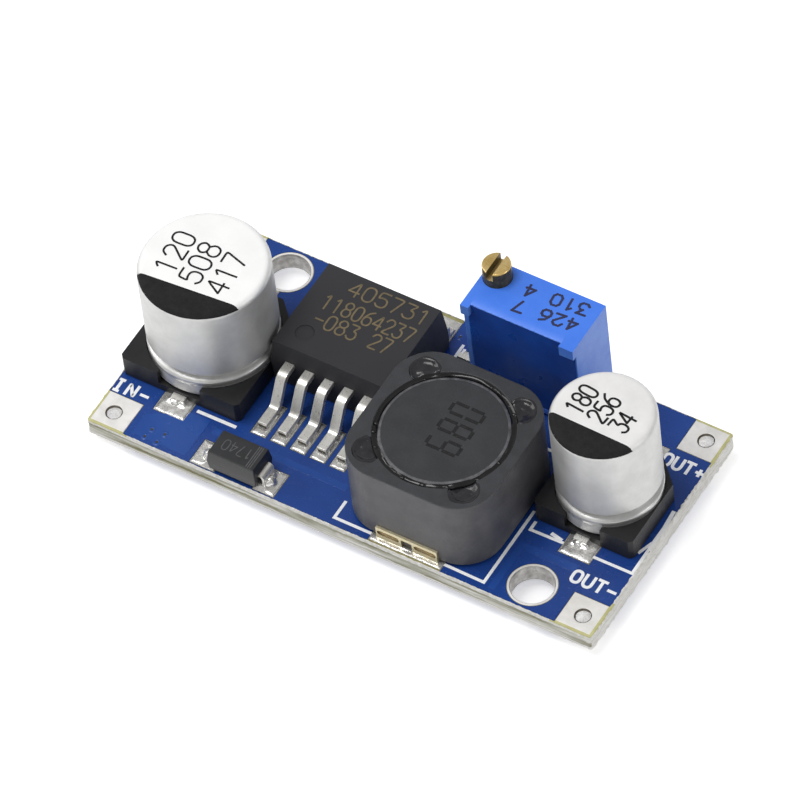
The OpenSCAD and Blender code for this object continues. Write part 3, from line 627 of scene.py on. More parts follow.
# Nitrile rubber ring.
RING_RUBBER = Finish("nitrile_rubber", "seal_rubber", "#2b2b2b", "#353535", roughness=0.6)
# Moulded carriage.
CARRIAGE = Finish("moulded_nylon", "carriage_plastic", "#e7e3d6", "#dcd6c6", roughness=0.5)
# Spring alloy of the wiper.
SPRING = Finish("spring_alloy", "wiper_alloy", "#d3ae63", "#c09a50", roughness=0.3, metallic=1.0)
# Overglaze of a chip resistor.
GLAZE = Finish("resistor_glaze", "resistor_body", "#232327", "#2c2c31", roughness=0.22)
# Screened legend ink: white, slightly broken where it is thin.
LEGEND_INK = Finish(
    "legend_ink", "solder_mask", "#ffffff", "#eff1f5", roughness=0.55, patch_mm=0.35,
    grain_mm=0.1, relief_mm=0.01,
)
# Pad-printed black ink on the cans.
CAN_INK = Finish(
    "pad_print_ink", "can_aluminium", "#1d1d1e", "#242425", roughness=0.75, specular=0.2,
    patch_mm=0.5, grain_mm=0.12, relief_mm=0.004,
)
# Laser mark burnt into the core's top: the lacquer melts and shines.
LASER_MARK = Finish(
    "laser_mark", "ferrite", "#121214", "#1d1d20", roughness=0.2, patch_mm=0.3, grain_mm=0.1,
    relief_mm=0.02,
)
# Laser mark on moulded epoxy: bares the resin in a dull gold.
EPOXY_MARK = Finish(
    "laser_mark_gold", "moulded_epoxy", "#7b6c4e", "#66593f", roughness=0.6, patch_mm=0.3,
    grain_mm=0.08,
)
# Faint grey mark on the diode.
DIODE_MARK = Finish(
    "laser_mark_grey", "moulded_epoxy", "#5d5e61", "#4d4e51", roughness=0.55, patch_mm=0.25,
    grain_mm=0.08,
)
# Sprayed marking ink on the trimmer.
DOT_INK = Finish(
    "sprayed_dot_ink", "blue_plastic", "#1f2247", "#2a2a50", roughness=0.45, patch_mm=0.3,
    grain_mm=0.1,
)
# Sheared end of a lead: bare copper alloy, darkened by the flux. The same tone paints shade under
# the rim of the wire holes.
SHEARED_END_AND_HOLE_SHADE = Finish(
    "sheared_alloy_and_painted_hole_shade", "tinned_lead", "#3a352c", "#5a5244", roughness=0.5, metallic=0.3,
    patch_mm=0.3, grain_mm=0.1,
)
# Shadow and flux deep in a drilled hole.
HOLE_DARK = Finish("hole_resin", "fr4", "#2a2b2c", "#3a3a38", roughness=0.6)


# ---------------------------------------------------------------- pieces


def finish_piece(
    mesh: bpy.types.Mesh, finish: Finish, replaces: Sequence[str] = (), body: Body = Body.BOARD
) -> bpy.types.Object:
    """Puts a new mesh on the module, in a piece of the same name.

    Args:
        mesh: The mesh, in metres and in place.
        finish: Its finish.
        replaces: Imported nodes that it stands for.
        body: Body that it rides on.

    Returns:
        The new object.
    """
    piece = bpy.data.objects.new(mesh.name, mesh)
    bpy.context.scene.collection.objects.link(piece)
    mesh.materials.append(finish.material())
    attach(piece, body.value)
    if replaces:
        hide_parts(*replaces)
    LOG.info("piece %s: %d faces, %s", mesh.name, len(mesh.polygons), finish.name)
    return piece


def make_mesh(
    name: str, points: Sequence[Sequence[float]], faces: Sequence[Face], crease: float = 40
) -> bpy.types.Mesh:
    """Makes a smooth-shaded mesh from points in millimetres.

    Args:
        name: Name of the mesh.
        points: Places of its corners, in millimetres.
        faces: Corner numbers of each face.
        crease: Angle in degrees above which an edge stays sharp.

    Returns:
        The mesh, in metres.
    """
    mesh = bpy.data.meshes.new(name)
    mesh.from_pydata([[c * MM for c in p] for p in points], [], faces)
    mesh.validate()
    whole = bmesh.new()
    whole.from_mesh(mesh)
    bmesh.ops.remove_doubles(whole, verts=whole.verts, dist=1e-8)
    bmesh.ops.recalc_face_normals(whole, faces=whole.faces)
    whole.to_mesh(mesh)
    whole.free()
    mesh.polygons.foreach_set("use_smooth", [True] * len(mesh.polygons))
    mesh.set_sharp_from_angle(angle=math.radians(crease))
    return mesh


def thicken(piece: bpy.types.Object, depth_mm: float, offset: float) -> None:
    """Gives a skin a real depth, outwards for an offset of 1 and inwards for -1.

    Args:
        piece: The skin.
        depth_mm: Its depth.
        offset: 1 to grow outwards, -1 to grow inwards.
    """
    skin = piece.modifiers.new("depth", "SOLIDIFY")
    skin.thickness = depth_mm * MM
    skin.offset = offset


def dress(node: str, finish: Finish, edge_mm: float = 0.0, steps: int = 2) -> bpy.types.Object:
    """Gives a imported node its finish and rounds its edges.

    Args:
        node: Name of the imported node.
        finish: Its finish.
        edge_mm: Width of the rounding, or 0 for none.
        steps: Faces across the rounding.

    Returns:
        The node's object.
    """
    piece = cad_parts[node]
    mesh = piece.data
    mesh.materials.clear()
    mesh.materials.append(finish.material())
    for kept in ("custom_normal", "sharp_edge"):
        if mesh.attributes.get(kept):
            mesh.attributes.remove(mesh.attributes[kept])
    mesh.polygons.foreach_set("use_smooth", [True] * len(mesh.polygons))
    piece.modifiers.new("weld", "WELD").merge_threshold = 1e-6
    corner = math.radians(CORNER_DEG)
    if edge_mm:
        flat = piece.modifiers.new("join flat faces", "DECIMATE")
        flat.decimate_type = "DISSOLVE"
        flat.angle_limit = math.radians(FLAT_DEG)
        edge = piece.modifiers.new("rounded edges", "BEVEL")
        edge.width = edge_mm * MM
        edge.segments = steps
        edge.limit_method = "ANGLE"
        edge.angle_limit = corner
        edge.harden_normals = True
    else:
        piece.modifiers.new("sharp edges", "EDGE_SPLIT").split_angle = corner
    LOG.info("node %s: %s", node, finish.name)
    return piece


def lathe(
    name: str, section: Sequence[Point], centre: Sequence[float], turns: int = 96
) -> bpy.types.Mesh:
    """Turns a closed section round an upright axis.

    Args:
        name: Name of the mesh.
        section: Radius and height of each corner, in millimetres.
        centre: Place of the axis.
        turns: Number of steps round the axis.

    Returns:
        The turned mesh.
    """
    points = [
        around(centre, radius, math.tau * k / turns, height)
        for k in range(turns)
        for radius, height in section
    ]
    return make_mesh(name, points, sheet(turns, len(section), 0, True, True), 50)


# Strokes of each character on a cell 4 wide and 6 high.
ROUND_CELL = [(1, 0), (3, 0), (4, 1.2), (4, 4.8), (3, 6), (1, 6), (0, 4.8), (0, 1.2), (1, 0)]
GLYPHS: dict[str, list[list[Point]]] = {
    "0": [ROUND_CELL],
    "1": [[(0.8, 4.8), (2.2, 6), (2.2, 0)]],
    "2": [[(0, 4.6), (1, 6), (3, 6), (4, 5), (4, 4), (0, 0), (4, 0)]],
    "3": [[(0, 6), (4, 6), (1.9, 3.5), (3.2, 3.4), (4, 2.4), (4, 1), (3, 0), (1, 0), (0, 1)]],
    "4": [[(3, 0), (3, 6), (0, 1.8)], [(0, 1.8), (4, 1.8)]],
    "5": [
        [(3.8, 6), (0.4, 6), (0.1, 3.3), (1.2, 3.8), (3, 3.8), (4, 2.8), (4, 1), (3, 0), (1, 0),
         (0, 1)],
    ],
    "6": [
        [(3.6, 6), (1.4, 5), (0, 2.6)],
        [(0, 2.5), (0, 1), (1, 0), (3, 0), (4, 1), (4, 2.5), (3, 3.5), (1, 3.5), (0, 2.5)],
    ],
    "7": [[(0, 6), (4, 6), (1.6, 0)]],
    "8": [
        [(1, 3.2), (0.2, 4.2), (0.2, 5), (1.2, 6), (2.8, 6), (3.8, 5), (3.8, 4.2), (3, 3.2),
         (1, 3.2)],
        [(1, 3.2), (0, 2.2), (0, 1), (1, 0), (3, 0), (4, 1), (4, 2.2), (3, 3.2)],
    ],
    "I": [[(2, 0), (2, 6)], [(0.9, 6), (3.1, 6)], [(0.9, 0), (3.1, 0)]],
    "N": [[(0, 0), (0, 6), (4, 0), (4, 6)]],
    "O": [ROUND_CELL],
    "U": [[(0, 6), (0, 1.2), (1, 0), (3, 0), (4, 1.2), (4, 6)]],
    "T": [[(0, 6), (4, 6)], [(2, 6), (2, 0)]],
    "+": [[(0.4, 2.8), (3.6, 2.8)], [(2, 1.2), (2, 4.4)]],
    "-": [[(0.2, 2.8), (3.8, 2.8)]],
    " ": [],
}
CELL = (4, 6)

# Bars of a figure built from seven, and the ends of each bar on a unit cell.
BARS = {"0": "abcdef", "6": "acdefg", "8": "abcdefg"}
BAR_ENDS: dict[str, tuple[Point, Point]] = {
    "a": ((0, 1), (1, 1)), "b": ((1, 0.5), (1, 1)), "c": ((1, 0), (1, 0.5)), "d": ((0, 0), (1, 0)),
    "e": ((0, 0), (0, 0.5)), "f": ((0, 0.5), (0, 1)), "g": ((0, 0.5), (1, 0.5)),
}


@dataclass
class Print:
    """Ink laid on a level face: ribbons, dots and filled shapes joined in one thin mesh."""

    name: str
    finish: Finish
    level: float
    width: float = 0.2
    thickness: float = 0.02
    # Strokes lie this far apart in height, and every so many start again at the bottom.
    lift: float = 0.0012
    lifts: int = 7
    # An open stroke runs past its ends by this share of half its width.
    overrun: float = 0.6
    laid: int = 0
    points: list[Point3] = field(default_factory=list)
    faces: list[Face] = field(default_factory=list)

    def layer(self) -> float:
        """Gives the height of the next stroke, a hair apart from the one that it crosses."""
        self.laid += 1
        return self.level + self.lift * (self.laid % self.lifts)

    def ribbon(self, path: Sequence[Point], width: float | None = None) -> None:
        """Lays a band of ink along a path, mitred at its corners.

        Args:
            path: Corners of the path, in millimetres. It is closed where the ends meet.
            width: Width of the band, or None for the print's own.
        """
        half = (width or self.width) / 2
        way = [Vector(p) for p in path]
        closed = (way[0] - way[-1]).length < 1e-6
        if closed:
            way = way[:-1]
        else:
            way[0] = way[0] - (way[1] - way[0]).normalized() * half * self.overrun
            way[-1] = way[-1] + (way[-1] - way[-2]).normalized() * half * self.overrun
        count, first, level = len(way), len(self.points), self.layer()
        for i, spot in enumerate(way):
            before = way[i - 1] if closed or i else spot
            after = way[(i + 1) % count] if closed or i < count - 1 else spot
            come = (spot - before).normalized() if (spot - before).length else None
            leave = (after - spot).normalized() if (after - spot).length else None
            come, leave = come or leave, leave or come
            out = (come + leave).normalized()
            side = Vector((-out.y, out.x))
            reach = half / max(0.5, side.dot(Vector((-leave.y, leave.x))))
            for edge in (spot + side * reach, spot - side * reach):
                self.points.append((edge.x, edge.y, level))
        for i in range(count if closed else count - 1):
            a, b = first + 2 * i, first + 2 * ((i + 1) % count)
            self.faces.append((a, a + 1, b + 1, b))

    def dots(self, path: Sequence[Point], radius: float, pitch: float) -> None:
        """Lays round dots of ink along a path.

        Args:
            path: Corners of the path.
            radius: Radius of a dot.
            pitch: Distance between dots.
        """
        corners = 10
        for start, end in zip(path, path[1:]):
            count = max(1, round((end - start).length / pitch))
            for k in range(count + 1):
                spot = start.lerp(end, k / count)
                self.fill([
                    around(spot, radius, math.tau * a / corners, 0)[:2] for a in range(corners)
                ])

    def fill(self, outline: Sequence[Point]) -> None:
        """Lays a filled shape with the given outline.

        Args:
            outline: Corners of the shape, in millimetres.
        """
        first, level = len(self.points), self.layer()
        self.points += [(x, y, level) for x, y in outline]
        self.faces.append(tuple(range(first, first + len(outline))))

    def write(
        self, words: str, start: Point, height: float, turn: float = 0.0,
        gap: float = 0.42, pen: Pen = Pen.SOLID, slim: float = 1.0,
    ) -> None:
        """Writes a row of characters.

        Args:
            words: The characters.
            start: Lower left corner of the row, in millimetres.
            height: Height of a character.
            turn: Turn of the row from +X, in degrees.
            gap: Space between characters, as a share of the height.
            pen: How each stroke is drawn.
            slim: Width of a character, as a share of the usual one.
        """
        unit = height / CELL[1]
        spin = Matrix.Rotation(math.radians(turn), 2)
        for number, letter in enumerate(words):
            shift = number * (CELL[0] * unit * slim + gap * height)
            for stroke in GLYPHS[letter]:
                path = [
                    Vector(start) + spin @ Vector((shift + x * unit * slim, y * unit))
                    for x, y in stroke
                ]
                if pen is Pen.SOLID:
                    self.ribbon(rounded(path))
                else:
                    self.dots(path, self.width / 2, self.width * 0.72)

    def figures(self, row: str, start: Point, size: Point, pitch: float, turn: float) -> None:
        """Writes a row of figures of one size.

        Args:
            row: The figures.
            start: Lower left corner of the row, in millimetres.
            size: Width and height of a figure.
            pitch: Distance from one figure to the next.
            turn: Turn of the row from +X, in degrees.
        """
        wide, high = size
        slim = wide / (high * CELL[0] / CELL[1])
        self.write(row, start, high, turn, (pitch - wide) / high, slim=slim)

    def segments(self, figure: str, start: Vector, size: Point, turn: float) -> None:
        """Draws one figure of straight bars that stop short of each other.

        Args:
            figure: The figure.
            start: Its lower left corner.
            size: Its width and height.
            turn: Its turn from +X, in degrees.
        """
        spin = Matrix.Rotation(math.radians(turn), 2)
        for bar in BARS[figure]:
            ends = [start + spin @ Vector((x * size[0], y * size[1])) for x, y in BAR_ENDS[bar]]
            short = (ends[1] - ends[0]).normalized() * self.width * 0.75
            self.ribbon([ends[0] + short, ends[1] - short])

    def make(self) -> bpy.types.Object:
        """Turns the ink to a piece with a real thickness.

        Returns:
            The new piece.
        """
        mesh = bpy.data.meshes.new(self.name)
        mesh.from_pydata([[c * MM for c in p] for p in self.points], [], self.faces)
        whole = bmesh.new()
        whole.from_mesh(mesh)
        for face in whole.faces:
            face.normal_update()
            if face.normal.z < 0:
                face.normal_flip()
        whole.to_mesh(mesh)
        whole.free()
        piece = finish_piece(mesh, self.finish)
        thicken(piece, self.thickness, 1.0)
        return piece


def rounded(path: Sequence[Vector], rounds: int = 2) -> list[Vector]:
    """Rounds the corners of a path by cutting them, and keeps its ends.

    Args:
        path: Corners of the path.
        rounds: Number of cuts.

    Returns:
        The rounded path.
    """
    way = list(path)
    closed = (way[0] - way[-1]).length < 1e-6
    for _ in range(rounds):
        if len(way) < 3:
            return way
        cut = []
        for start, end in zip(way, way[1:]):
            share = min(0.25, 0.12 / max((end - start).length, 1e-6))
            cut += [start.lerp(end, share), start.lerp(end, 1 - share)]
        if closed:
            cut.append(cut[0])
        else:
            cut[0], cut[-1] = way[0], way[-1]
        way = cut
    return way


@dataclass
class Joints:
    """Frozen solder of one part: a pool on each land, drawn up against the lead in it."""

    name: str
    replaces: Sequence[str] = ()
    step: float = 0.055
    inset: float = 0.05
    meniscus: float = 0.22
    points: list[Point3] = field(default_factory=list)
    faces: list[Face] = field(default_factory=list)

    def pool(self, land: Box, lead: Box, film: float, climb: float, spread: float) -> None:
        """Adds a pool of solder on one land.

        Args:
            land: Box of the bare land.
            lead: Box of the lead's foot that stands in it.
            film: Thickness of the solder away from the lead.
            climb: How far it climbs up the lead.
            spread: How far from the lead the climb dies out.
        """
        x0, x1 = land.lo.x + self.inset, land.hi.x - self.inset
        y0, y1 = land.lo.y + self.inset, land.hi.y - self.inset
        nx, ny = (max(4, round(length / self.step)) for length in (x1 - x0, y1 - y0))
        first = len(self.points)
        for j in range(ny + 1):
            for i in range(nx + 1):
                x, y = x0 + (x1 - x0) * i / nx, y0 + (y1 - y0) * j / ny
                rim = min(x - x0, x1 - x, y - y0, y1 - y)
                rise = math.sqrt(max(0.0, min(1.0, rim / self.meniscus)))
                height = film * (1 + 0.6 * waves(x * 1.9, y * 1.9, SEED * 0.01))
                dx = max(lead.lo.x - x, 0, x - lead.hi.x)
                dy = max(lead.lo.y - y, 0, y - lead.hi.y)
                height += climb * max(0.0, 1 - math.hypot(dx, dy) / (2 * spread)) ** 2
                self.points.append((x, y, land.hi.z + 0.002 + max(0.0, rise * height)))
        self.faces += sheet(ny + 1, nx + 1, first)
        self.close(first, nx, ny, land.hi.z - 0.01)

    def close(self, first: int, nx: int, ny: int, floor: float) -> None:
        """Closes a pool with side walls and a bottom at the land.

        Args:
            first: Number of the pool's first corner.
            nx: Steps from left to right.
            ny: Steps from front to back.
            floor: Height of the bottom.
        """
        rim = [first + i for i in range(nx + 1)]
        rim += [first + j * (nx + 1) + nx for j in range(1, ny + 1)]
        rim += [first + ny * (nx + 1) + i for i in range(nx - 1, -1, -1)]
        rim += [first + j * (nx + 1) for j in range(ny - 1, 0, -1)]
        base, count = len(self.points), len(rim)
        self.points += [(*self.points[k][:2], floor) for k in rim]
        for k in range(count):
            self.faces.append((rim[k], base + k, base + (k + 1) % count, rim[(k + 1) % count]))
        self.faces.append(tuple(base + k for k in reversed(range(count))))

    def bead(self, centre: Point3, radii: Point3, squash: float) -> None:
        """Adds a rounded drop of solder.

        Args:
            centre: Middle of the drop's base, in millimetres.
            radii: Half its length, half its width and its height.
            squash: Depth of the ripples on it, as a share of its size.
        """
        rows, turns = 10, 28
        first = len(self.points)
        for r in range(rows + 1):
            tilt = math.pi / 2 * r / rows
            for t in range(turns):
                angle = math.tau * t / turns
                cos, sin = math.cos(angle), math.sin(angle)
                ripple = 1 + squash * waves(cos * 2, sin * 2, r * 0.25 + centre[0])
                self.points.append((
                    centre[0] + radii[0] * math.cos(tilt) * cos * ripple,
                    centre[1] + radii[1] * math.cos(tilt) * sin * ripple,
                    centre[2] + radii[2] * math.sin(tilt),
                ))
        self.faces += sheet(rows + 1, turns, first, loop_width=True)
        self.faces.append(tuple(first + t for t in reversed(range(turns))))

    def make(self) -> None:
        """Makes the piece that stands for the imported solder."""
        finish_piece(make_mesh(self.name, self.points, self.faces, 70), SOLDER, self.replaces)


# ---------------------------------------------------------------- the board


@dataclass
class Board:
    """Circuit board: sawn laminate, blue mask, tinned pads and lands, legend and vias."""

    laminate: Box = field(default_factory=lambda: Box.of("board_laminate"))
    mask: Box = field(default_factory=lambda: Box.of("solder_mask_top"))
    corner_r: float = 0.2
    torn_step: float = 0.12
    torn_lip: float = 0.16
    # Roughness of the two sawn ends and of the two long edges.
    end_rough: float = 0.09
    side_rough: float = 0.03
    plating: float = 0.03
    legend_width: float = 0.24
    word_height: float = 1.05
    via_radius: float = 0.27
    # Distances from the board's left and front edges.
    via_spots: tuple[Point, ...] = (
        (4.79, 1.40), (5.89, 1.45), (4.65, 0.62), (5.72, 0.56), (31.2, 8.6), (31.9, 9.3),
        (20.6, 19.3),
    )
    pads: tuple[str, ...] = ("in_minus", "in_plus", "out_minus", "out_plus")

    def pad(self, name: str) -> Box:
        """Gives the box of a wire pad."""
        return Box.of(f"wire_pad_{name}")

    def dress_nodes(self) -> None:
        """Gives the laminate, mask, pads and lands their finishes."""
        dress("board_laminate", LAMINATE, 0.04, 1)
        for side in ("top", "bottom"):
            dress(f"solder_mask_{side}", MASK)
        for pad in self.pads:
            dress(f"wire_pad_{pad}", LEVELLED_TIN, 0.03)
        for side in ("back", "front"):
            dress(f"mounting_rim_{side}", LEVELLED_TIN, 0.03)
        dress("surface_lands", ROUGH_TIN, 0.03)
        dress("trimmer_lands", LEVELLED_TIN, 0.02)

    def line_holes(self) -> None:
        """Adds the plated lining of the mounting holes and the wire holes, and paints shade under
        each wire hole's rim.
        """
        for side in ("back", "front"):
            middle = Box.of(f"mounting_rim_{side}").mid
            reach = min((p.xy - middle.xy).length for p in self.corners(f"mounting_rim_{side}"))
            self.lining(f"mounting_lining_{side}", middle, reach, BARREL_TIN)
        for pad in self.pads:
            box, edge = self.pad(pad), 0.15
            rim = [p for p in self.corners(f"wire_pad_{pad}") if box.holds(p.x, p.y, -edge)]
            middle = Box.span(rim).mid
            reach = min((p.xy - middle.xy).length for p in rim)
            self.lining(f"wire_lining_{pad}", middle, reach, FLOOR_LIT_BARREL)
            self.painted_hole_shade(f"painted_hole_shade_{pad}", middle, reach, box.hi.z)

    def corners(self, node: str) -> list[Vector]:
        """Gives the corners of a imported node's mesh, in millimetres."""
        return [v.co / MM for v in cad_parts[node].data.vertices]

    def lining(self, name: str, middle: Vector, radius: float, finish: Finish) -> None:
        """Adds one thin plated tube with a slightly wavy wall.

        Args:
            name: Name of the piece.
            middle: Middle of the hole.
            radius: Radius of the hole.
            finish: Finish of the tube.
        """
        low, high = self.laminate.lo.z - 0.04, self.laminate.hi.z + 0.06
        inner, end, rows = radius - self.plating, 0.03, 6
        section = [(radius - 0.002, low), (radius - 0.002, high), (inner, high - end)]
        for k in range(1, rows):
            level = high - end - (high - low - 2 * end) * k / rows
            section.append((inner + 0.012 * waves(k * 0.9, middle.x, 0), level))
        section.append((inner, low + end))
        finish_piece(lathe(name, section, middle, 56), finish)

    def painted_hole_shade(self, name: str, middle: Vector, radius: float, level: float) -> None:
        """Paints a thin uneven dark ring just under the rim of one wire hole, wider on one side:
        painted shade.

        Args:
            name: Name of the piece.
            middle: Middle of the hole.
            radius: Radius of the hole.
            level: Height of the pad round it.
        """
        # The ring is widest on the side where shade falls inside the hole.
        turns, shaded_side = 48, math.radians(150)
        points: list[Point3] = []
        for t in range(turns):
            angle = math.tau * t / turns
            wide = 0.07 + 0.09 * max(0.0, math.cos(angle - shaded_side))
            wide += 0.03 * waves(math.cos(angle) * 2, math.sin(angle) * 2, middle.x)
            for inwards, drop in ((0.01, -0.004), (wide, 0.05), (0.01, 0.3)):
                points.append(around(middle, radius - inwards, angle, level - drop))
        finish_piece(make_mesh(name, points, sheet(turns, 3, 0, True, True), 60), SHEARED_END_AND_HOLE_SHADE)

    def bare_strips(self) -> None:
        """Leaves the laminate bare between each wire pad and the board's two edges."""
        strip = Print("bare_laminate", BARE_RESIN, self.mask.hi.z - 0.001, 0.2, 0.006)
        lo, hi, inset = self.laminate.lo, self.laminate.hi, 0.02
        for pad in self.pads:
            box = self.pad(pad)
            left, front = box.mid.x < 0, box.mid.y < 0
            x0, x1 = (lo.x + inset, box.lo.x) if left else (box.hi.x, hi.x - inset)
            y0, y1 = (lo.y + inset, box.lo.y) if front else (box.hi.y, hi.y - inset)
            far0, far1 = (x0, box.hi.x) if left else (box.lo.x, x1)
            strip.fill([(x0, box.lo.y), (x1, box.lo.y), (x1, box.hi.y), (x0, box.hi.y)])
            strip.fill([(far0, y0), (far1, y0), (far1, y1), (far0, y1)])
        strip.make()

    def edge_path(self) -> list[Point]:
        """Walks round the board's outline in small steps, with its rounded corners.

        Returns:
            The outline's points, from the front right corner by way of the back.
        """
        lo, hi, radius = self.laminate.lo, self.laminate.hi, self.corner_r
        corners = [
            (hi.x - radius, lo.y + radius, -90), (hi.x - radius, hi.y - radius, 0),
            (lo.x + radius, hi.y - radius, 90), (lo.x + radius, lo.y + radius, 180),
        ]
        path: list[Point] = []
        for number, (x, y, start) in enumerate(corners):
            path += [around((x, y), radius, math.radians(start + 15 * k), 0)[:2] for k in range(7)]
            x, y, start = corners[(number + 1) % 4]
            goal = Vector(around((x, y), radius, math.radians(start), 0)[:2])
            begin = Vector(path[-1])
            count = round((goal - begin).length / self.torn_step)
            path += [tuple(begin.lerp(goal, k / count)) for k in range(1, count)]
        return path

    def torn_edge(self) -> None:
        """Adds the sawn edge: a rough wall whose torn fibre laps over the mask in a ragged line."""
        path = self.edge_path()
        count = len(path)
        low, top = self.laminate.lo.z, self.mask.hi.z
        rows = [low, low + 0.3, low + 0.6, low + 0.9, low + 1.2, self.laminate.hi.z - 0.04]
        lip_rows = ((0.15, top + 0.004), (0.7, top + 0.012), (1.0, top - 0.02))
        points: list[Point3] = []
        for i, (x, y) in enumerate(path):
            along = (Vector(path[(i + 1) % count]) - Vector(path[i - 1])).normalized()
            out = Vector((along.y, -along.x))
            sawn_end = abs(out.x) > 0.7
            rough = self.end_rough if sawn_end else self.side_rough
            for z in rows:
                jag = waves(x * 2.6, y * 2.6, z * 1.4) * rough
                jag += waves(x * 9, y * 9, z * 5) * rough * 0.7
                edge = Vector((x, y)) + out * (max(0.0, jag + rough * 0.4) + 0.004)
                points.append((edge.x, edge.y, z))
            ragged = waves(x * 3.1, y * 3.1, 7.0) + 0.8 * waves(x * 11, y * 11, 3.0)
            lip = self.torn_lip * (0.7 if sawn_end and x > 0 else 0.4) * (1 + 0.8 * ragged)
            for share, level in lip_rows:
                edge = Vector((x, y)) - out * max(0.02, lip) * share
                points.append((edge.x, edge.y, level))
        width = len(rows) + len(lip_rows)
        mesh = make_mesh("torn_edge", points, sheet(count, width, loop_rows=True), 60)
        finish_piece(mesh, LAMINATE)
        for finish in (TORN_FIBRE, SAWN_RESIN, BARE_RESIN):
            mesh.materials.append(finish.material())
        pads = [self.pad(pad) for pad in self.pads]
        for face in mesh.polygons:
            row = face.index % (width - 1)
            at = face.center / MM
            if row >= len(rows) - 1 and any(pad.holds(at.x, at.y, 0.45) for pad in pads):
                face.material_index = 3
            elif row >= len(rows) - 2:
                face.material_index = 1
            elif row >= 1 and abs(face.normal.y) > 0.6 and at.y < 0:
                face.material_index = 2

    def legend(self) -> None:
        """Screens the pads' words and the parts' outlines in white ink."""
        ink = Print("legend", LEGEND_INK, self.mask.hi.z + INK_GAP, self.legend_width, 0.02)
        in_minus, in_plus, out_minus, out_plus = (self.pad(name) for name in self.pads)
        for word, x, y, gap, slim in (
            ("IN-", in_minus.lo.x - 0.06, in_minus.hi.y + 0.24, 0.42, 0.95),
            ("OUT-", out_minus.lo.x - 0.9, out_minus.hi.y + 0.72, 0.3, 0.95),
            ("OUT+", out_plus.lo.x - 0.38, out_plus.lo.y - 1.75, 0.26, 0.9),
            ("IN+", in_plus.lo.x + 0.42, in_plus.lo.y - 1.3, 0.42, 0.95),
        ):
            ink.write(word, (x, y), self.word_height, gap=gap, slim=slim)
        self.coil_outline(ink)
        self.output_outline(ink)
        self.input_outline(ink)
        chip = Box.of("resistor_chip")
        for shift, start, end in ((-0.38, 2.0, 0.55), (-0.08, 1.7, 1.1)):
            x = chip.lo.x + shift
            ink.ribbon([(x, chip.mid.y + start), (x, chip.mid.y + end)])
        ink.make()

    def coil_outline(self, ink: Print) -> None:
        """Draws the corners of the inductor's outline that show round it.

        Args:
            ink: Print that takes the lines.
        """
        coil, land = Box.of("inductor_shield"), Box.of("inductor_terminal_front")
        front, back = coil.lo.y - 0.1, coil.hi.y
        left, right = coil.lo.x - 0.1, coil.hi.x + 0.3
        ink.ribbon([(left, front + 1.6), (left, front), (land.lo.x - 0.55, front)])
        ink.ribbon([(land.hi.x + 0.55, front + 0.05), (right, front), (right, front + 7.2)])
        ink.ribbon([(left, back - 1.4), (left, back + 0.2), (left + 2.2, back + 0.2)])
        ink.ribbon([(right, back - 2.4), (right, back + 0.2), (right - 2.2, back + 0.2)])

    def output_outline(self, ink: Print) -> None:
        """Draws the output capacitor's outline with its slanted corners.

        Args:
            ink: Print that takes the lines.
        """
        base, lead = Box.of("output_cap_base"), Box.of("output_cap_lead_minus")
        front, left = base.lo.y - 1.02, base.lo.x + 0.28
        right = self.laminate.hi.x - 0.2
        ink.ribbon([(left, front + 0.75), (left, front), (lead.lo.x - 0.62, front + 0.05)])
        ink.ribbon([(lead.lo.x - 1.7, front + 0.4), (lead.lo.x - 0.85, front + 0.22)], 0.3)
        ink.ribbon([(lead.hi.x + 0.95, front - 0.02), (right, front), (right, front + 3.1)])
        ink.ribbon([(right - 0.5, front + 1.85), (right - 0.1, front + 3.0)], 0.24)
        bulge = [(right, front + 2.9), (right + 0.02, front + 4.6), (right - 0.1, front + 6.2)]
        ink.ribbon(bulge, 0.3)

    def input_outline(self, ink: Print) -> None:
        """Draws the front line of the input capacitor's outline.

        Args:
            ink: Print that takes the lines.
        """
        base, lead = Box.of("input_cap_base"), Box.of("input_cap_lead_minus")
        front = base.lo.y - 0.45
        ink.ribbon([(lead.hi.x + 1.25, front), (base.hi.x - 0.1, front + 0.03)], 0.28)

    def vias(self) -> None:
        """Adds the tented vias: a raised ring of mask round a small dark dimple."""
        corner, ring, turns = self.laminate.lo, self.via_radius, 20
        level, pit = self.mask.hi.z + 0.014, self.via_radius * 0.42
        for number, (x, y) in enumerate(self.via_spots):
            place = (corner.x + x, corner.y + y)
            rim = [
                (ring + 0.06, level - 0.02), (ring, level + 0.012), (ring * 0.55, level + 0.02),
                (pit, level + 0.003), (pit, level - 0.005),
            ]
            well = [
                (0.001, level + 0.002), (pit, level + 0.004), (pit, level - 0.004),
                (0.001, level - 0.004),
            ]
            finish_piece(lathe(f"via_ring_{number + 1}", rim, place, turns), MASK_OVER_COPPER)
            finish_piece(lathe(f"via_pit_{number + 1}", well, place, turns), HOLE_DARK)

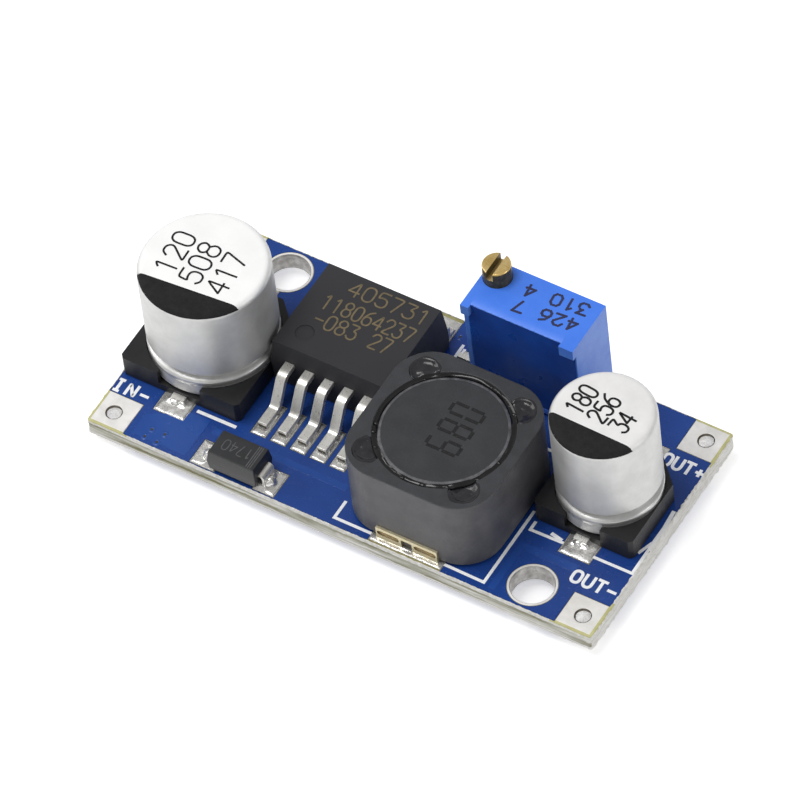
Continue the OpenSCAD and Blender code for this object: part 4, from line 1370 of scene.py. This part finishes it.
    def pours(self) -> None:
        """Raises the mask over the copper pours that carry the current."""
        lo, start = self.laminate.lo, self.laminate.lo.y + 0.45
        base, diode, coil = (
            Box.of(node) for node in ("input_cap_base", "diode_body", "inductor_shield")
        )
        hole, pad = Box.of("mounting_rim_front"), self.pad("out_minus")
        to_diode, bend = diode.lo.x - 2.2, lo.y + 4.1
        strip = (diode.lo.x - 1.6, diode.hi.y + 0.55, coil.lo.x - 0.6, diode.hi.y + 1.15)
        from_coil, to_hole, to_pad = coil.hi.x + 0.75, hole.lo.x - 0.35, pad.lo.x - 0.9
        step, end = hole.hi.y + 0.5, hole.hi.y + 1.2
        pour = Print("mask_over_pours", MASK_OVER_COPPER, self.mask.hi.z - 0.002, 0.2, 0.016)
        pour.fill([
            (lo.x + 3.6, start), (to_diode, start), (to_diode, bend), (base.lo.x + 6.6, bend),
            (lo.x + 3.6, lo.y + 2.4),
        ])
        pour.fill([
            (strip[0], strip[1]), (strip[2], strip[1]), (strip[2], strip[3]), (strip[0], strip[3]),
        ])
        pour.fill([
            (from_coil, start), (to_hole, start), (to_hole, step), (to_pad, step), (to_pad, end),
            (from_coil, end),
        ])
        edge = pour.make().modifiers.new("soft step", "BEVEL")
        edge.width = 0.012 * MM
        edge.segments = 2

    def build(self) -> None:
        """Builds the board's pieces."""
        self.dress_nodes()
        self.line_holes()
        self.torn_edge()
        self.bare_strips()
        self.pours()
        self.legend()
        self.vias()


# ---------------------------------------------------------------- the parts


@dataclass
class CanCapacitor:
    """Surface-mount can capacitor: drawn can on a moulded base, with print on its top.

    The print is a filled segment over the negative lead and rows of figures that run across.
    """

    name: str
    rows: tuple[str, ...]
    chord: float
    slant: float
    figure: Point
    pitch: Point
    first: Point
    stroke: float
    turn: float
    lands: Sequence[Box]
    finish: Finish = CAN_ALUMINIUM
    edge_r: float = 0.6

    def box(self, part: str) -> Box:
        """Gives the box of one of its parts."""
        return Box.of(f"{self.name}_cap_{part}")

    def print_segment(self, can: Box) -> None:
        """Prints the filled segment, which wraps down the rounded rim.

        Args:
            can: Box of the can.
        """
        radius, reach = can.size.x / 2, can.size.x / 2 - 0.04
        start = math.asin(self.chord / reach)
        spin = Matrix.Rotation(math.radians(self.slant), 2)
        steps, rings = 96, 16
        points: list[Point3] = []
        for i in range(steps + 1):
            angle = -start - (math.pi - 2 * start) * i / steps
            outer = reach + 0.006 * waves(i * 0.35, self.chord, 1.0)
            inner = min(self.chord / max(1e-6, -math.sin(angle)), outer - 1e-4)
            for k in range(rings + 1):
                rho = inner + (outer - inner) * math.sin(math.pi / 2 * k / rings)
                past = max(0.0, rho - (radius - self.edge_r))
                fall = self.edge_r - math.sqrt(max(0.0, self.edge_r**2 - past**2))
                spot = spin @ Vector((rho * math.cos(angle), rho * math.sin(angle)))
                points.append((can.mid.x + spot.x, can.mid.y + spot.y, can.hi.z - fall + 0.008))
        mesh = make_mesh(f"{self.name}_cap_mark", points, sheet(steps + 1, rings + 1), 60)
        thicken(finish_piece(mesh, CAN_INK), 0.01, -1.0)

    def print_figures(self, can: Box) -> None:
        """Prints the rows of figures, which run across the board from front to back.

        Args:
            can: Box of the can.
        """
        ink = Print(f"{self.name}_cap_figures", CAN_INK, can.hi.z + INK_GAP, self.stroke, 0.012)
        spin = Matrix.Rotation(math.radians(self.turn), 2)
        for number, row in enumerate(self.rows):
            middle = Vector((self.first[0] + number * self.pitch[0], self.first[1]))
            start = can.mid.xy + middle - spin @ (Vector(self.figure) / 2)
            ink.figures(row, tuple(start), self.figure, self.pitch[1], self.turn)
        ink.make()

    def roll_bead(self, can: Box) -> None:
        """Rolls the can's foot out to a bead under the groove, with a crisp upper edge.

        Args:
            can: Box of the can.
        """
        radius, floor = can.size.x / 2, self.box("base").hi.z
        steps = (
            (-0.5, -0.1), (-0.04, -0.1), (0.02, 0.05), (0.03, 0.4), (0.01, 0.5), (-0.06, 0.56),
            (-0.26, 0.66), (-0.5, 0.74),
        )
        section = [(radius + out, floor + up) for out, up in steps]
        finish_piece(lathe(f"{self.name}_cap_bead", section, can.mid), ROLLED_ALUMINIUM)

    def solder(self) -> None:
        """Pools solder on the two lands, with a drop over each lead's end."""
        joints = Joints(f"{self.name}_cap_joints", (f"solder_{self.name}_cap",))
        for sign, way in (("minus", -1), ("plus", 1)):
            lead = self.box(f"lead_{sign}")
            tip = lead.lo.y if way < 0 else lead.hi.y
            land = nearest(self.lands, lead.mid.x, tip)
            joints.pool(land, lead, 0.05, 0.2, 0.22)
            base = land.hi.z + 0.02
            joints.bead((lead.mid.x - 0.12, tip + way * 0.02, base), (0.46, 0.4, 0.34), 0.16)
            joints.bead((lead.mid.x + 0.42, tip - way * 0.12, base), (0.26, 0.3, 0.22), 0.2)
        joints.make()

    def build(self) -> None:
        """Builds the capacitor."""
        can = self.box("can")
        dress(f"{self.name}_cap_can", self.finish)
        dress(f"{self.name}_cap_base", BASE_PLASTIC, 0.09, 3)
        dress(f"{self.name}_cap_bung", BUNG_RUBBER)
        dress(f"{self.name}_cap_winding", FOIL)
        for sign in ("minus", "plus"):
            dress(f"{self.name}_cap_lead_{sign}", TIN_PLATE, 0.03)
        self.roll_bead(can)
        self.print_segment(can)
        self.print_figures(can)
        self.solder()


@dataclass
class Regulator:
    """Power package on its soldered tab: five bent leads and a moulded body."""

    lands: Sequence[Box]
    # Figures, distance from the left and back edges, width of a figure and pitch.
    rows: tuple[tuple[str, float, float, float, float], ...] = (
        ("405731", 2.88, 1.5, 0.85, 1.15),
        ("118064237", 1.71, 3.45, 0.65, 0.87),
        ("-083 27", 2.0, 5.09, 0.7, 0.94),
    )
    figure_height: float = 1.35
    print_turn: float = 0.8
    lead_count: int = 5
    # Where a lead's foot ends and begins, from the lead's front end.
    foot: float = 1.45
    heel: float = 0.45

    def figures(self, body: Box) -> None:
        """Marks three rows of plain figures on the top.

        Args:
            body: Box of the moulded body.
        """
        ink = Print("regulator_figures", EPOXY_MARK, body.hi.z + INK_GAP, 0.14, 0.006)
        high = self.figure_height
        for row, from_left, from_back, wide, pitch in self.rows:
            start = (body.lo.x + from_left, body.hi.y - from_back - high / 2)
            ink.figures(row, start, (wide, high), pitch, self.print_turn)
        ink.make()

    def solder(self) -> None:
        """Pools solder round each foot and along the tab."""
        joints = Joints("regulator_joints", ("solder_regulator",))
        for number in range(1, self.lead_count + 1):
            lead = Box.of(f"regulator_lead_{number}")
            foot = Box(
                lead.lo + Vector((0, self.heel, 0)),
                Vector((lead.hi.x, lead.lo.y + self.foot, lead.hi.z)),
            )
            land = nearest(self.lands, lead.mid.x, lead.lo.y + 1.0)
            joints.pool(land, foot, 0.045, 0.12, 0.16)
            self.sheared_end(number, lead)
        land = max(self.lands, key=lambda b: b.size.x * b.size.y)
        joints.pool(land, Box.of("regulator_tab"), 0.05, 0.4, 0.2)
        joints.make()

    def sheared_end(self, number: int, lead: Box) -> None:
        """Adds the dark sheared face at the front end of one foot.

        Args:
            number: Number of the lead.
            lead: Box of the lead.
        """
        inset, thick, y = 0.06, 0.34, lead.lo.y
        section = [
            (y - 0.012, 0.03), (y - 0.02, thick * 0.5), (y - 0.006, thick - 0.05),
            (y + 0.06, thick - 0.05), (y + 0.06, 0.03),
        ]
        points = [
            (x, v + 0.004 * math.sin(9 * x), lead.lo.z + z)
            for x in (lead.lo.x + inset, lead.mid.x, lead.hi.x - inset)
            for v, z in section
        ]
        count = len(section)
        faces = sheet(3, count, loop_width=True)
        faces += [tuple(range(count)), tuple(reversed(range(2 * count, 3 * count)))]
        finish_piece(make_mesh(f"regulator_lead_end_{number}", points, faces, 30), SHEARED_END_AND_HOLE_SHADE)

    def build(self) -> None:
        """Builds the regulator."""
        dress("regulator_body", MOULDED_EPOXY, 0.07, 3)
        dress("regulator_tab", TIN_PLATE, 0.08)
        for number in range(1, self.lead_count + 1):
            dress(f"regulator_lead_{number}", TIN_PLATE, 0.05)
        self.figures(Box.of("regulator_body"))
        self.solder()


@dataclass
class Diode:
    """Moulded rectifier with leads wrapped under its ends."""

    lands: Sequence[Box]
    figures: str = "1740"
    figure_height: float = 0.95
    figure_gap: float = 0.17
    figure_slim: float = 0.75
    band_lines: int = 3
    band_pitch: float = 0.17

    def marks(self, body: Box) -> None:
        """Marks the cathode end with thin lines, and plain figures beside them.

        Args:
            body: Box of the moulded body.
        """
        ink = Print("diode_marks", DIODE_MARK, body.hi.z + INK_GAP, 0.07, 0.006)
        for k in range(self.band_lines):
            x = body.hi.x - 0.5 - self.band_pitch * k
            ink.ribbon([(x, body.lo.y + 0.24), (x, body.hi.y - 0.24)])
        start = (body.mid.x + 1.1, body.mid.y + 0.5)
        ink.write(
            self.figures, start, self.figure_height, 180, self.figure_gap, slim=self.figure_slim
        )
        ink.make()

    def solder(self) -> None:
        """Pools solder on both lands, with round beads against the leads."""
        joints = Joints("diode_joints", ("solder_diode",))
        for end, way in (("anode", -1), ("cathode", 1)):
            lead = Box.of(f"diode_lead_{end}")
            tip, y = (lead.lo.x if way < 0 else lead.hi.x), lead.mid.y
            land = nearest(self.lands, tip, y)
            joints.pool(land, lead, 0.06, 0.25, 0.25)
            joints.bead((tip + way * 0.12, y - 0.1, land.hi.z), (0.5, 0.55, 0.72), 0.16)
            joints.bead((tip - way * 0.05, y + 0.45, land.hi.z), (0.34, 0.36, 0.5), 0.2)
        joints.make()

    def build(self) -> None:
        """Builds the diode."""
        dress("diode_body", DIODE_EPOXY, 0.06)
        for end in ("anode", "cathode"):
            dress(f"diode_lead_{end}", TIN_PLATE, 0.03)
        self.marks(Box.of("diode_body"))
        self.solder()


@dataclass
class Inductor:
    """Shielded inductor: drum core glued in a pressed ferrite ring, on two end plates."""

    lands: Sequence[Box]
    shield: Box = field(default_factory=lambda: Box.of("inductor_shield"))
    core: Box = field(default_factory=lambda: Box.of("inductor_core"))
    bore_r: float = 5.3
    pocket_at: float = 5.75
    pocket_r: float = 1.15
    figures: str = "680"
    figure: Point = (0.95, 2.6)
    figure_pitch: float = 1.66
    figure_middle: Point = (0.65, 0.49)
    lump_count: int = 13

    def glue(self) -> None:
        """Pours glossy glue in the ring groove and in the four pockets, with lumps on it."""
        centre, inner = self.core.mid, self.core.size.x / 2
        level = Box.of("inductor_glue").hi.z
        turns, profile = 144, 7
        points: list[Point3] = []
        for t in range(turns):
            angle = math.tau * t / turns
            swell = waves(math.cos(angle) * 2.2, math.sin(angle) * 2.2, 4.0)
            for k in range(profile + 1):
                share = k / profile
                reach = inner - 0.03 + (self.bore_r - inner + 0.06) * share
                height = level - 0.1 + 0.12 * swell + 0.1 * (1 - math.sin(math.pi * share))
                height += 0.06 * waves(reach * 3, angle * 6, 0)
                points.append(around(centre, reach, angle, min(height, self.shield.hi.z - 0.02)))
            points += [around(centre, reach, angle, level - 1.0) for reach in (self.bore_r, inner)]
        faces = sheet(turns, profile + 3, 0, True, True)
        chance = random.Random(SEED)
        drops = Joints("lumps")
        for _ in range(self.lump_count):
            angle = chance.uniform(0, math.tau)
            reach = inner + chance.uniform(0.12, 0.34)
            size = chance.uniform(0.1, 0.2)
            spot = around(centre, reach, angle, level - 0.14)
            drops.bead(spot, (size * 1.5, size, size * 0.9), 0.3)
        faces += [tuple(len(points) + v for v in f) for f in drops.faces]
        mesh = make_mesh("inductor_glue_pour", points + drops.points, faces, 80)
        finish_piece(mesh, GLUE, ("inductor_glue",))
        pools: list[Point3] = []
        pool_faces: list[Face] = []
        for corner in range(4):
            spot = around(centre, self.pocket_at, math.radians(45 + 90 * corner), level)
            self.pocket(pools, pool_faces, spot)
        finish_piece(make_mesh("inductor_glue_pockets", pools, pool_faces, 80), POOLED_GLUE)

    def pocket(self, points: list[Point3], faces: list[Face], spot: Point3) -> None:
        """Fills one corner pocket with a wavy pool of glue that laps over its rim.

        Args:
            points: Corners of the glue, which the pool's are added to.
            faces: Faces of the glue, which the pool's are added to.
            spot: Middle of the pocket, at the glue's level.
        """
        centre, top, level = self.core.mid, self.shield.hi.z, spot[2]
        first, rings, turns = len(points), 14, 48
        full = self.pocket_r * 0.9
        for r in range(rings + 1):
            for t in range(turns):
                way = math.tau * t / turns
                lap = 1.05 + 0.16 * waves(math.cos(way) * 1.6, math.sin(way) * 1.6, spot[0])
                rho = self.pocket_r * lap * r / rings
                x, y, _ = around(spot, rho, way, 0)
                wave = waves(x * 1.1, y * 1.1, 2.0) + 0.16 * waves(x * 3, y * 3, 5)
                height = level - 0.08 + 0.2 * wave
                if rho > full:
                    height = max(height, top + 0.03 * (1 - r / rings) + 0.006)
                else:
                    height += (top - height) * (rho / full) ** 5
                inward = self.bore_r + 0.12 - math.hypot(x - centre.x, y - centre.y)
                if inward > 0:
                    height = min(height, level - 0.02 - 1.2 * inward)
                points.append((x, y, height))
        points += [(x, y, level - 0.75) for x, y, _ in points[-turns:]]
        faces += sheet(rings + 2, turns, first, loop_width=True)
        faces.append(tuple(range(first + (rings + 1) * turns, len(points))))

    def marks(self) -> None:
        """Burns three figures into the top, stacked from front to back."""
        ink = Print("inductor_figures", LASER_MARK, self.core.hi.z + INK_GAP, 0.26, 0.012)
        wide, high = self.figure
        for number, figure in enumerate(self.figures):
            along = (number - 1) * self.figure_pitch
            middle = self.core.mid.xy + Vector(self.figure_middle)
            ink.segments(figure, middle + Vector((high / 2, along - wide / 2)), self.figure, 90)
        ink.make()

    def terminals(self) -> None:
        """Dresses the end plates and fills their windows with flux."""
        for end, way in (("front", -1), ("back", 1)):
            dress(f"inductor_terminal_{end}", TERMINAL, 0.04)
            plate = Box.of(f"inductor_terminal_{end}")
            face, wall = (b.lo.y if way < 0 else b.hi.y for b in (plate, self.shield))
            for side, shift in (("left", -0.3), ("right", 0.3)):
                x, y = plate.mid.x + plate.size.x * shift, wall + (face - wall) * 0.45
                spot = Vector((x, y, plate.lo.z + 0.63))
                self.window(f"terminal_flux_{end}_{side}", spot, way)

    def window(self, name: str, spot: Vector, way: int) -> None:
        """Adds the lens of brown flux in one window of an end plate.

        Args:
            name: Name of the piece.
            spot: Middle of the window.
            way: 1 where it faces the back, -1 where it faces the front.
        """
        rings, turns, half, high = 5, 36, 0.9, 0.23
        points: list[Point3] = []
        for r in range(rings + 1):
            share = r / rings
            for t in range(turns):
                cos, sin = math.cos(math.tau * t / turns), math.sin(math.tau * t / turns)
                dx = half * share * math.copysign(abs(cos) ** 0.6, cos)
                dz = high * share * math.copysign(abs(sin) ** 0.8, sin)
                points.append((spot.x + dx, spot.y + way * 0.03 * (1 - share**2), spot.z + dz))
        faces = sheet(rings + 1, turns, loop_width=True)
        finish_piece(make_mesh(name, points, faces, 80), FLUX)

    def solder(self) -> None:
        """Pools solder in front of and behind the end plates."""
        joints = Joints("inductor_joints", ("solder_inductor",))
        under = 0.4
        for end in ("front", "back"):
            plate = Box.of(f"inductor_terminal_{end}")
            front = end == "front"
            land = nearest(self.lands, plate.mid.x, plate.lo.y if front else plate.hi.y)
            low, high = land.lo.copy(), land.hi.copy()
            if front:
                high.y = plate.lo.y + under
            else:
                low.y = plate.hi.y - under
            joints.pool(Box(low, high), plate, 0.035, 0.03, 0.1)
        joints.make()

    def paint_rim_highlight(self) -> None:
        """Paints a pale highlight ring along the core's top edge."""
        edge, top = self.core.size.x / 2, self.core.hi.z
        steps = ((0.24, 0.003), (0.08, 0.003), (0.01, -0.05), (0.05, -0.09), (0.24, -0.01))
        section = [(edge - inwards, top + up) for inwards, up in steps]
        finish_piece(lathe("core_painted_rim_highlight", section, self.core.mid, 144), FERRITE_RIM_HIGHLIGHT)

    def build(self) -> None:
        """Builds the inductor."""
        dress("inductor_shield", FERRITE, 0.06)
        dress("inductor_core", FERRITE_CORE, 0.08)
        self.paint_rim_highlight()
        dress("inductor_winding", ENAMELLED_COPPER)
        self.glue()
        self.terminals()
        self.marks()
        self.solder()


@dataclass
class Trimmer:
    """Upright multi-turn trimmer: blue housing, poured face, brass screw and its works."""

    housing: Box = field(default_factory=lambda: Box.of("trimmer_housing"))
    block: Box = field(default_factory=lambda: Box.of("trimmer_potting"))
    screw: Box = field(default_factory=lambda: Box.of("trimmer_screw"))
    rows: tuple[str, ...] = ("310 4", "426 7")
    row_pitch: float = 1.6
    dot: float = 0.22
    figure_height: float = 1.02
    figure_gap: float = 0.35
    figure_slim: float = 1.05
    print_turn: float = 184.5
    tab_h: float = 1.0

    def print_top(self) -> None:
        """Sprays two rows of dotted figures on the top, read from the back."""
        top = self.housing.hi
        ink = Print("trimmer_figures", DOT_INK, top.z + INK_GAP, self.dot, 0.008)
        for number, row in enumerate(self.rows):
            start = (top.x - 1.0, top.y - 0.5 - number * self.row_pitch)
            ink.write(
                row, start, self.figure_height, self.print_turn, self.figure_gap, Pen.DOTTED,
                self.figure_slim,
            )
        ink.make()

    def pour_face(self) -> None:
        """Pours the open face: resin drawn down in soft waves, smeared over the right wall."""
        block, housing = self.block, self.housing
        nx, nz = 60, 64
        points: list[Point3] = []
        for j in range(nz + 1):
            z = block.lo.z + 0.005 + (block.size.z - 0.02) * j / nz
            under_tab = z < housing.hi.z - self.tab_h - 0.02
            left = block.lo.x + (0.02 if under_tab else 0.36)
            right = housing.hi.x - 0.12 if under_tab else block.hi.x - 0.82
            for i in range(nx + 1):
                x = left + (right - left) * i / nx
                draw = 0.07 * (1 - math.exp(-min(x - left, right - x) / 0.4))
                wave = 0.03 * waves(x * 0.45, 1.0, z * 0.3)
                points.append((x, block.lo.y - 0.07 + max(0.0, draw + wave), z))
        mesh = make_mesh("trimmer_pour_face", points, sheet(nz + 1, nx + 1), 60)
        thicken(finish_piece(mesh, POTTING), 0.03, -1.0)

    def flash(self) -> None:
        """Adds the skin of blue plastic that laps over the resin's top in a ragged line."""
        left, right = self.housing.lo.x + 0.66, self.housing.hi.x - 1.16
        top, face, count = self.housing.hi.z + 0.004, self.block.lo.y, 120
        points: list[Point3] = []
        for i in range(count + 1):
            x = left + (right - left) * i / count
            rough = waves(x * 3.1, 2.0, 0) + 0.6 * waves(x * 9.0, 5.0, 0)
            front, tear = face - 0.08 + 0.03 * rough, 0.1 * max(0.0, rough)
            points += [
                (x, face + 0.7, top - 0.03), (x, face + 0.7, top), (x, front + 0.06, top),
                (x, front, top - 0.04), (x, front + 0.01, top - 0.12 - tear),
                (x, face + 0.02, top - 0.13 - tear),
            ]
        mesh = make_mesh("trimmer_flash", points, sheet(count + 1, 6), 40)
        finish_piece(mesh, TRIMMER_BLUE)

    def solder(self) -> None:
        """Draws the solder down each pin's tail under the board."""
        joints = Joints("trimmer_joints", ("solder_trimmer",))
        rows, turns, pin, foot = 12, 32, 0.27, 0.4
        for box in islands("solder_trimmer"):
            first, reach = len(joints.points), box.size.x / 2
            for r in range(rows + 1):
                share = r / rows
                level = box.lo.z + (box.hi.z - box.lo.z) * share
                tail = pin + (reach - pin) * min(1.0, share * 3.2) ** 2
                wide = tail if share < 0.36 else (foot if share < 0.94 else reach * 0.82)
                joints.points += [
                    around(box.mid, wide, math.tau * t / turns, level) for t in range(turns)
                ]
            joints.faces += sheet(rows + 1, turns, first, loop_width=True)
            joints.faces.append(tuple(first + t for t in reversed(range(turns))))
            joints.faces.append(tuple(first + rows * turns + t for t in range(turns)))
        joints.make()

    def turn_screw(self) -> None:
        """Gives the screw its turned brass, and paints the head's upright rim darker as shade."""
        brass = TurnedFinish(
            "turned_brass", "brass", "#ecd092", "#d8b871", roughness=0.32, roughness_swing=0.06,
            metallic=0.85, patch_mm=0.8, relief_mm=0.002, ring_mm=0.09,
            axis=(self.screw.mid.x, self.screw.mid.y),
        )
        mesh = dress("trimmer_screw", brass, 0.035).data
        # Second material: darker brass on the head's upright rim, as painted shade.
        mesh.materials.append(BRASS_PAINTED_SHADE.material())
        rim, above = 0.93 * self.screw.size.x / 2, self.housing.hi.z - 1
        for face in mesh.polygons:
            at = face.center / MM
            outside = (at.xy - self.screw.mid.xy).length > rim
            if outside and at.z > above and abs(face.normal.z) < 0.3:
                face.material_index = 1

    def build(self) -> None:
        """Builds the trimmer."""
        dress("trimmer_housing", TRIMMER_BLUE, 0.07)
        dress("trimmer_potting", POTTING, 0.04)
        dress("trimmer_element", ALUMINA)
        self.turn_screw()
        dress("trimmer_seal_ring", RING_RUBBER)
        dress("trimmer_carriage", CARRIAGE, 0.03)
        dress("trimmer_wiper", SPRING)
        for number in range(1, 4):
            dress(f"trimmer_pin_{number}", TIN_PLATE)
        self.print_top()
        self.pour_face()
        self.flash()
        self.solder()


@dataclass
class ChipResistor:
    """Small chip resistor with plated ends."""

    lands: Sequence[Box]

    def build(self) -> None:
        """Builds the resistor and its two joints."""
        dress("resistor_chip", GLAZE, 0.03)
        dress("resistor_caps", TIN_PLATE, 0.04)
        joints = Joints("resistor_joints", ("solder_resistor",))
        for cap in islands("resistor_caps"):
            joints.pool(nearest(self.lands, cap.mid.x, cap.mid.y), cap, 0.05, 0.3, 0.16)
        joints.make()


# ---------------------------------------------------------------- the studio


@dataclass
class Studio:
    """Plain pale floor, soft lamps and the camera."""

    azimuth: float = 36.755
    elevation: float = 52.175
    roll: float = -7.367
    distance: float = 0.73119
    target: Point3 = (-0.002732, 0.002571, 0.0008)
    lens: float = 445.98
    shift: Point = (0.00414, 0.0018)
    ambient: float = 0.44
    floor_half: float = 3.0
    floor_steps: int = 8
    floor_glow: float = 0.5

    def aim(self, azimuth: float, elevation: float) -> Vector:
        """Gives the way from the object to a lamp or camera, both angles in degrees."""
        a, e = math.radians(azimuth), math.radians(elevation)
        return Vector((math.sin(a) * math.cos(e), -math.cos(a) * math.cos(e), math.sin(e)))

    def camera(self) -> None:
        """Sets up the camera."""
        back = self.aim(self.azimuth, self.elevation)
        right = Vector((0, 0, 1)).cross(back).normalized()
        up = back.cross(right)
        turn = math.radians(self.roll)
        side = right * math.cos(turn) + up * math.sin(turn)
        head = up * math.cos(turn) - right * math.sin(turn)
        data = bpy.data.cameras.new("camera")
        data.lens = self.lens
        data.sensor_width = 36
        data.shift_x, data.shift_y = self.shift
        data.clip_start, data.clip_end = 0.01, 20
        eye = bpy.data.objects.new("camera", data)
        bpy.context.scene.collection.objects.link(eye)
        place = Matrix((side, head, back)).transposed().to_4x4()
        place.translation = Vector(self.target) + back * self.distance
        eye.matrix_world = place
        bpy.context.scene.camera = eye

    def lamp(
        self, name: str, azimuth: float, elevation: float, distance: float, size: Point,
        level: float,
    ) -> None:
        """Adds a soft box.

        Args:
            name: Name of the lamp.
            azimuth: Where it stands, in degrees from the front.
            elevation: How high it stands, in degrees.
            distance: Its distance in metres.
            size: Its width and height in metres.
            level: Brightness of its face, where 1 is white.
        """
        data = bpy.data.lights.new(name, "AREA")
        data.shape = "RECTANGLE"
        data.size, data.size_y = size
        data.energy = level * math.pi * size[0] * size[1]
        made = bpy.data.objects.new(name, data)
        bpy.context.scene.collection.objects.link(made)
        way = self.aim(azimuth, elevation)
        made.location = way * distance
        made.rotation_euler = way.to_track_quat("Z", "Y").to_euler()

    def paper(self) -> bpy.types.Material:
        """Makes white paper that stays white to the eye and keeps the object's shadow.

        Returns:
            The material.
        """
        made = bpy.data.materials.new("white_paper_floor")
        made.use_nodes = True
        tree = made.node_tree
        tree.nodes.clear()
        diffuse = add_node(tree, "ShaderNodeBsdfDiffuse", {"Color": (0.82, 0.82, 0.83, 1)})
        rays = add_node(tree, "ShaderNodeLightPath").outputs
        seen = rays["Is Camera Ray"]
        for kind in ("Is Glossy Ray", "Is Transmission Ray"):
            either = {"operation": "MAXIMUM", 0: seen, 1: rays[kind]}
            seen = add_node(tree, "ShaderNodeMath", either).outputs[0]
        share = {"operation": "MULTIPLY", 0: seen, 1: self.floor_glow}
        level = add_node(tree, "ShaderNodeMath", share).outputs[0]
        glow = add_node(tree, "ShaderNodeEmission", {"Color": (1, 1, 1, 1), "Strength": level})
        both = add_node(tree, "ShaderNodeAddShader", {0: diffuse.outputs[0], 1: glow.outputs[0]})
        add_node(tree, "ShaderNodeOutputMaterial", {"Surface": both.outputs[0]})
        return made

    def floor(self) -> None:
        """Lays the floor, a hair under the object."""
        half, steps = self.floor_half / MM, self.floor_steps
        level = CAD_BOX[0].z / MM - 0.01
        places = [half * (2 * k / steps - 1) for k in range(steps + 1)]
        points = [(x, y, level) for y in places for x in places]
        mesh = make_mesh("floor", points, sheet(steps + 1, steps + 1))
        mesh.materials.append(self.paper())
        ground = bpy.data.objects.new("floor", mesh)
        bpy.context.scene.collection.objects.link(ground)

    def build(self) -> None:
        """Sets up the studio."""
        world = bpy.data.worlds.new("studio")
        bpy.context.scene.world = world
        world.use_nodes = True
        sky = world.node_tree.nodes["Background"]
        sky.inputs["Color"].default_value = (1, 1, 1, 1)
        sky.inputs["Strength"].default_value = self.ambient
        bpy.context.scene.view_settings.view_transform = "Standard"
        self.floor()
        self.lamp("overhead", 300, 72, 0.6, (0.3, 0.25), 6.4)
        self.lamp("left", 280, 35, 0.6, (0.2, 0.3), 3.2)
        self.lamp("right", 95, 30, 0.6, (0.16, 0.28), 4.2)
        self.lamp("front", 0, 30, 0.7, (0.3, 0.12), 2.0)
        self.camera()


def main() -> None:
    """Builds every sub-assembly in order."""
    logging.basicConfig(level=logging.INFO, format="%(message)s")
    lands = islands("surface_lands")
    Studio().build()
    assemblies = (
        Board(),
        CanCapacitor(
            "input", ("120", "508", "417"), chord=2.62, slant=4.5, figure=(1.0, 1.75),
            pitch=(2.2, 1.35), first=(-2.36, -1.46), stroke=0.16, turn=92.5, lands=lands,
        ),
        CanCapacitor(
            "output", ("180", "256", "34"), chord=1.72, slant=-1.5, figure=(0.68, 1.5),
            pitch=(1.87, 0.87), first=(-2.08, -0.55), stroke=0.18, turn=84.0, lands=lands,
            finish=CAN_ALUMINIUM_GREY,
        ),
        Regulator(lands),
        Diode(lands),
        Inductor(lands),
        Trimmer(),
        ChipResistor(lands),
    )
    for assembly in assemblies:
        LOG.info("building %s", type(assembly).__name__)
        assembly.build()


if __name__ == "__main__":
    main()
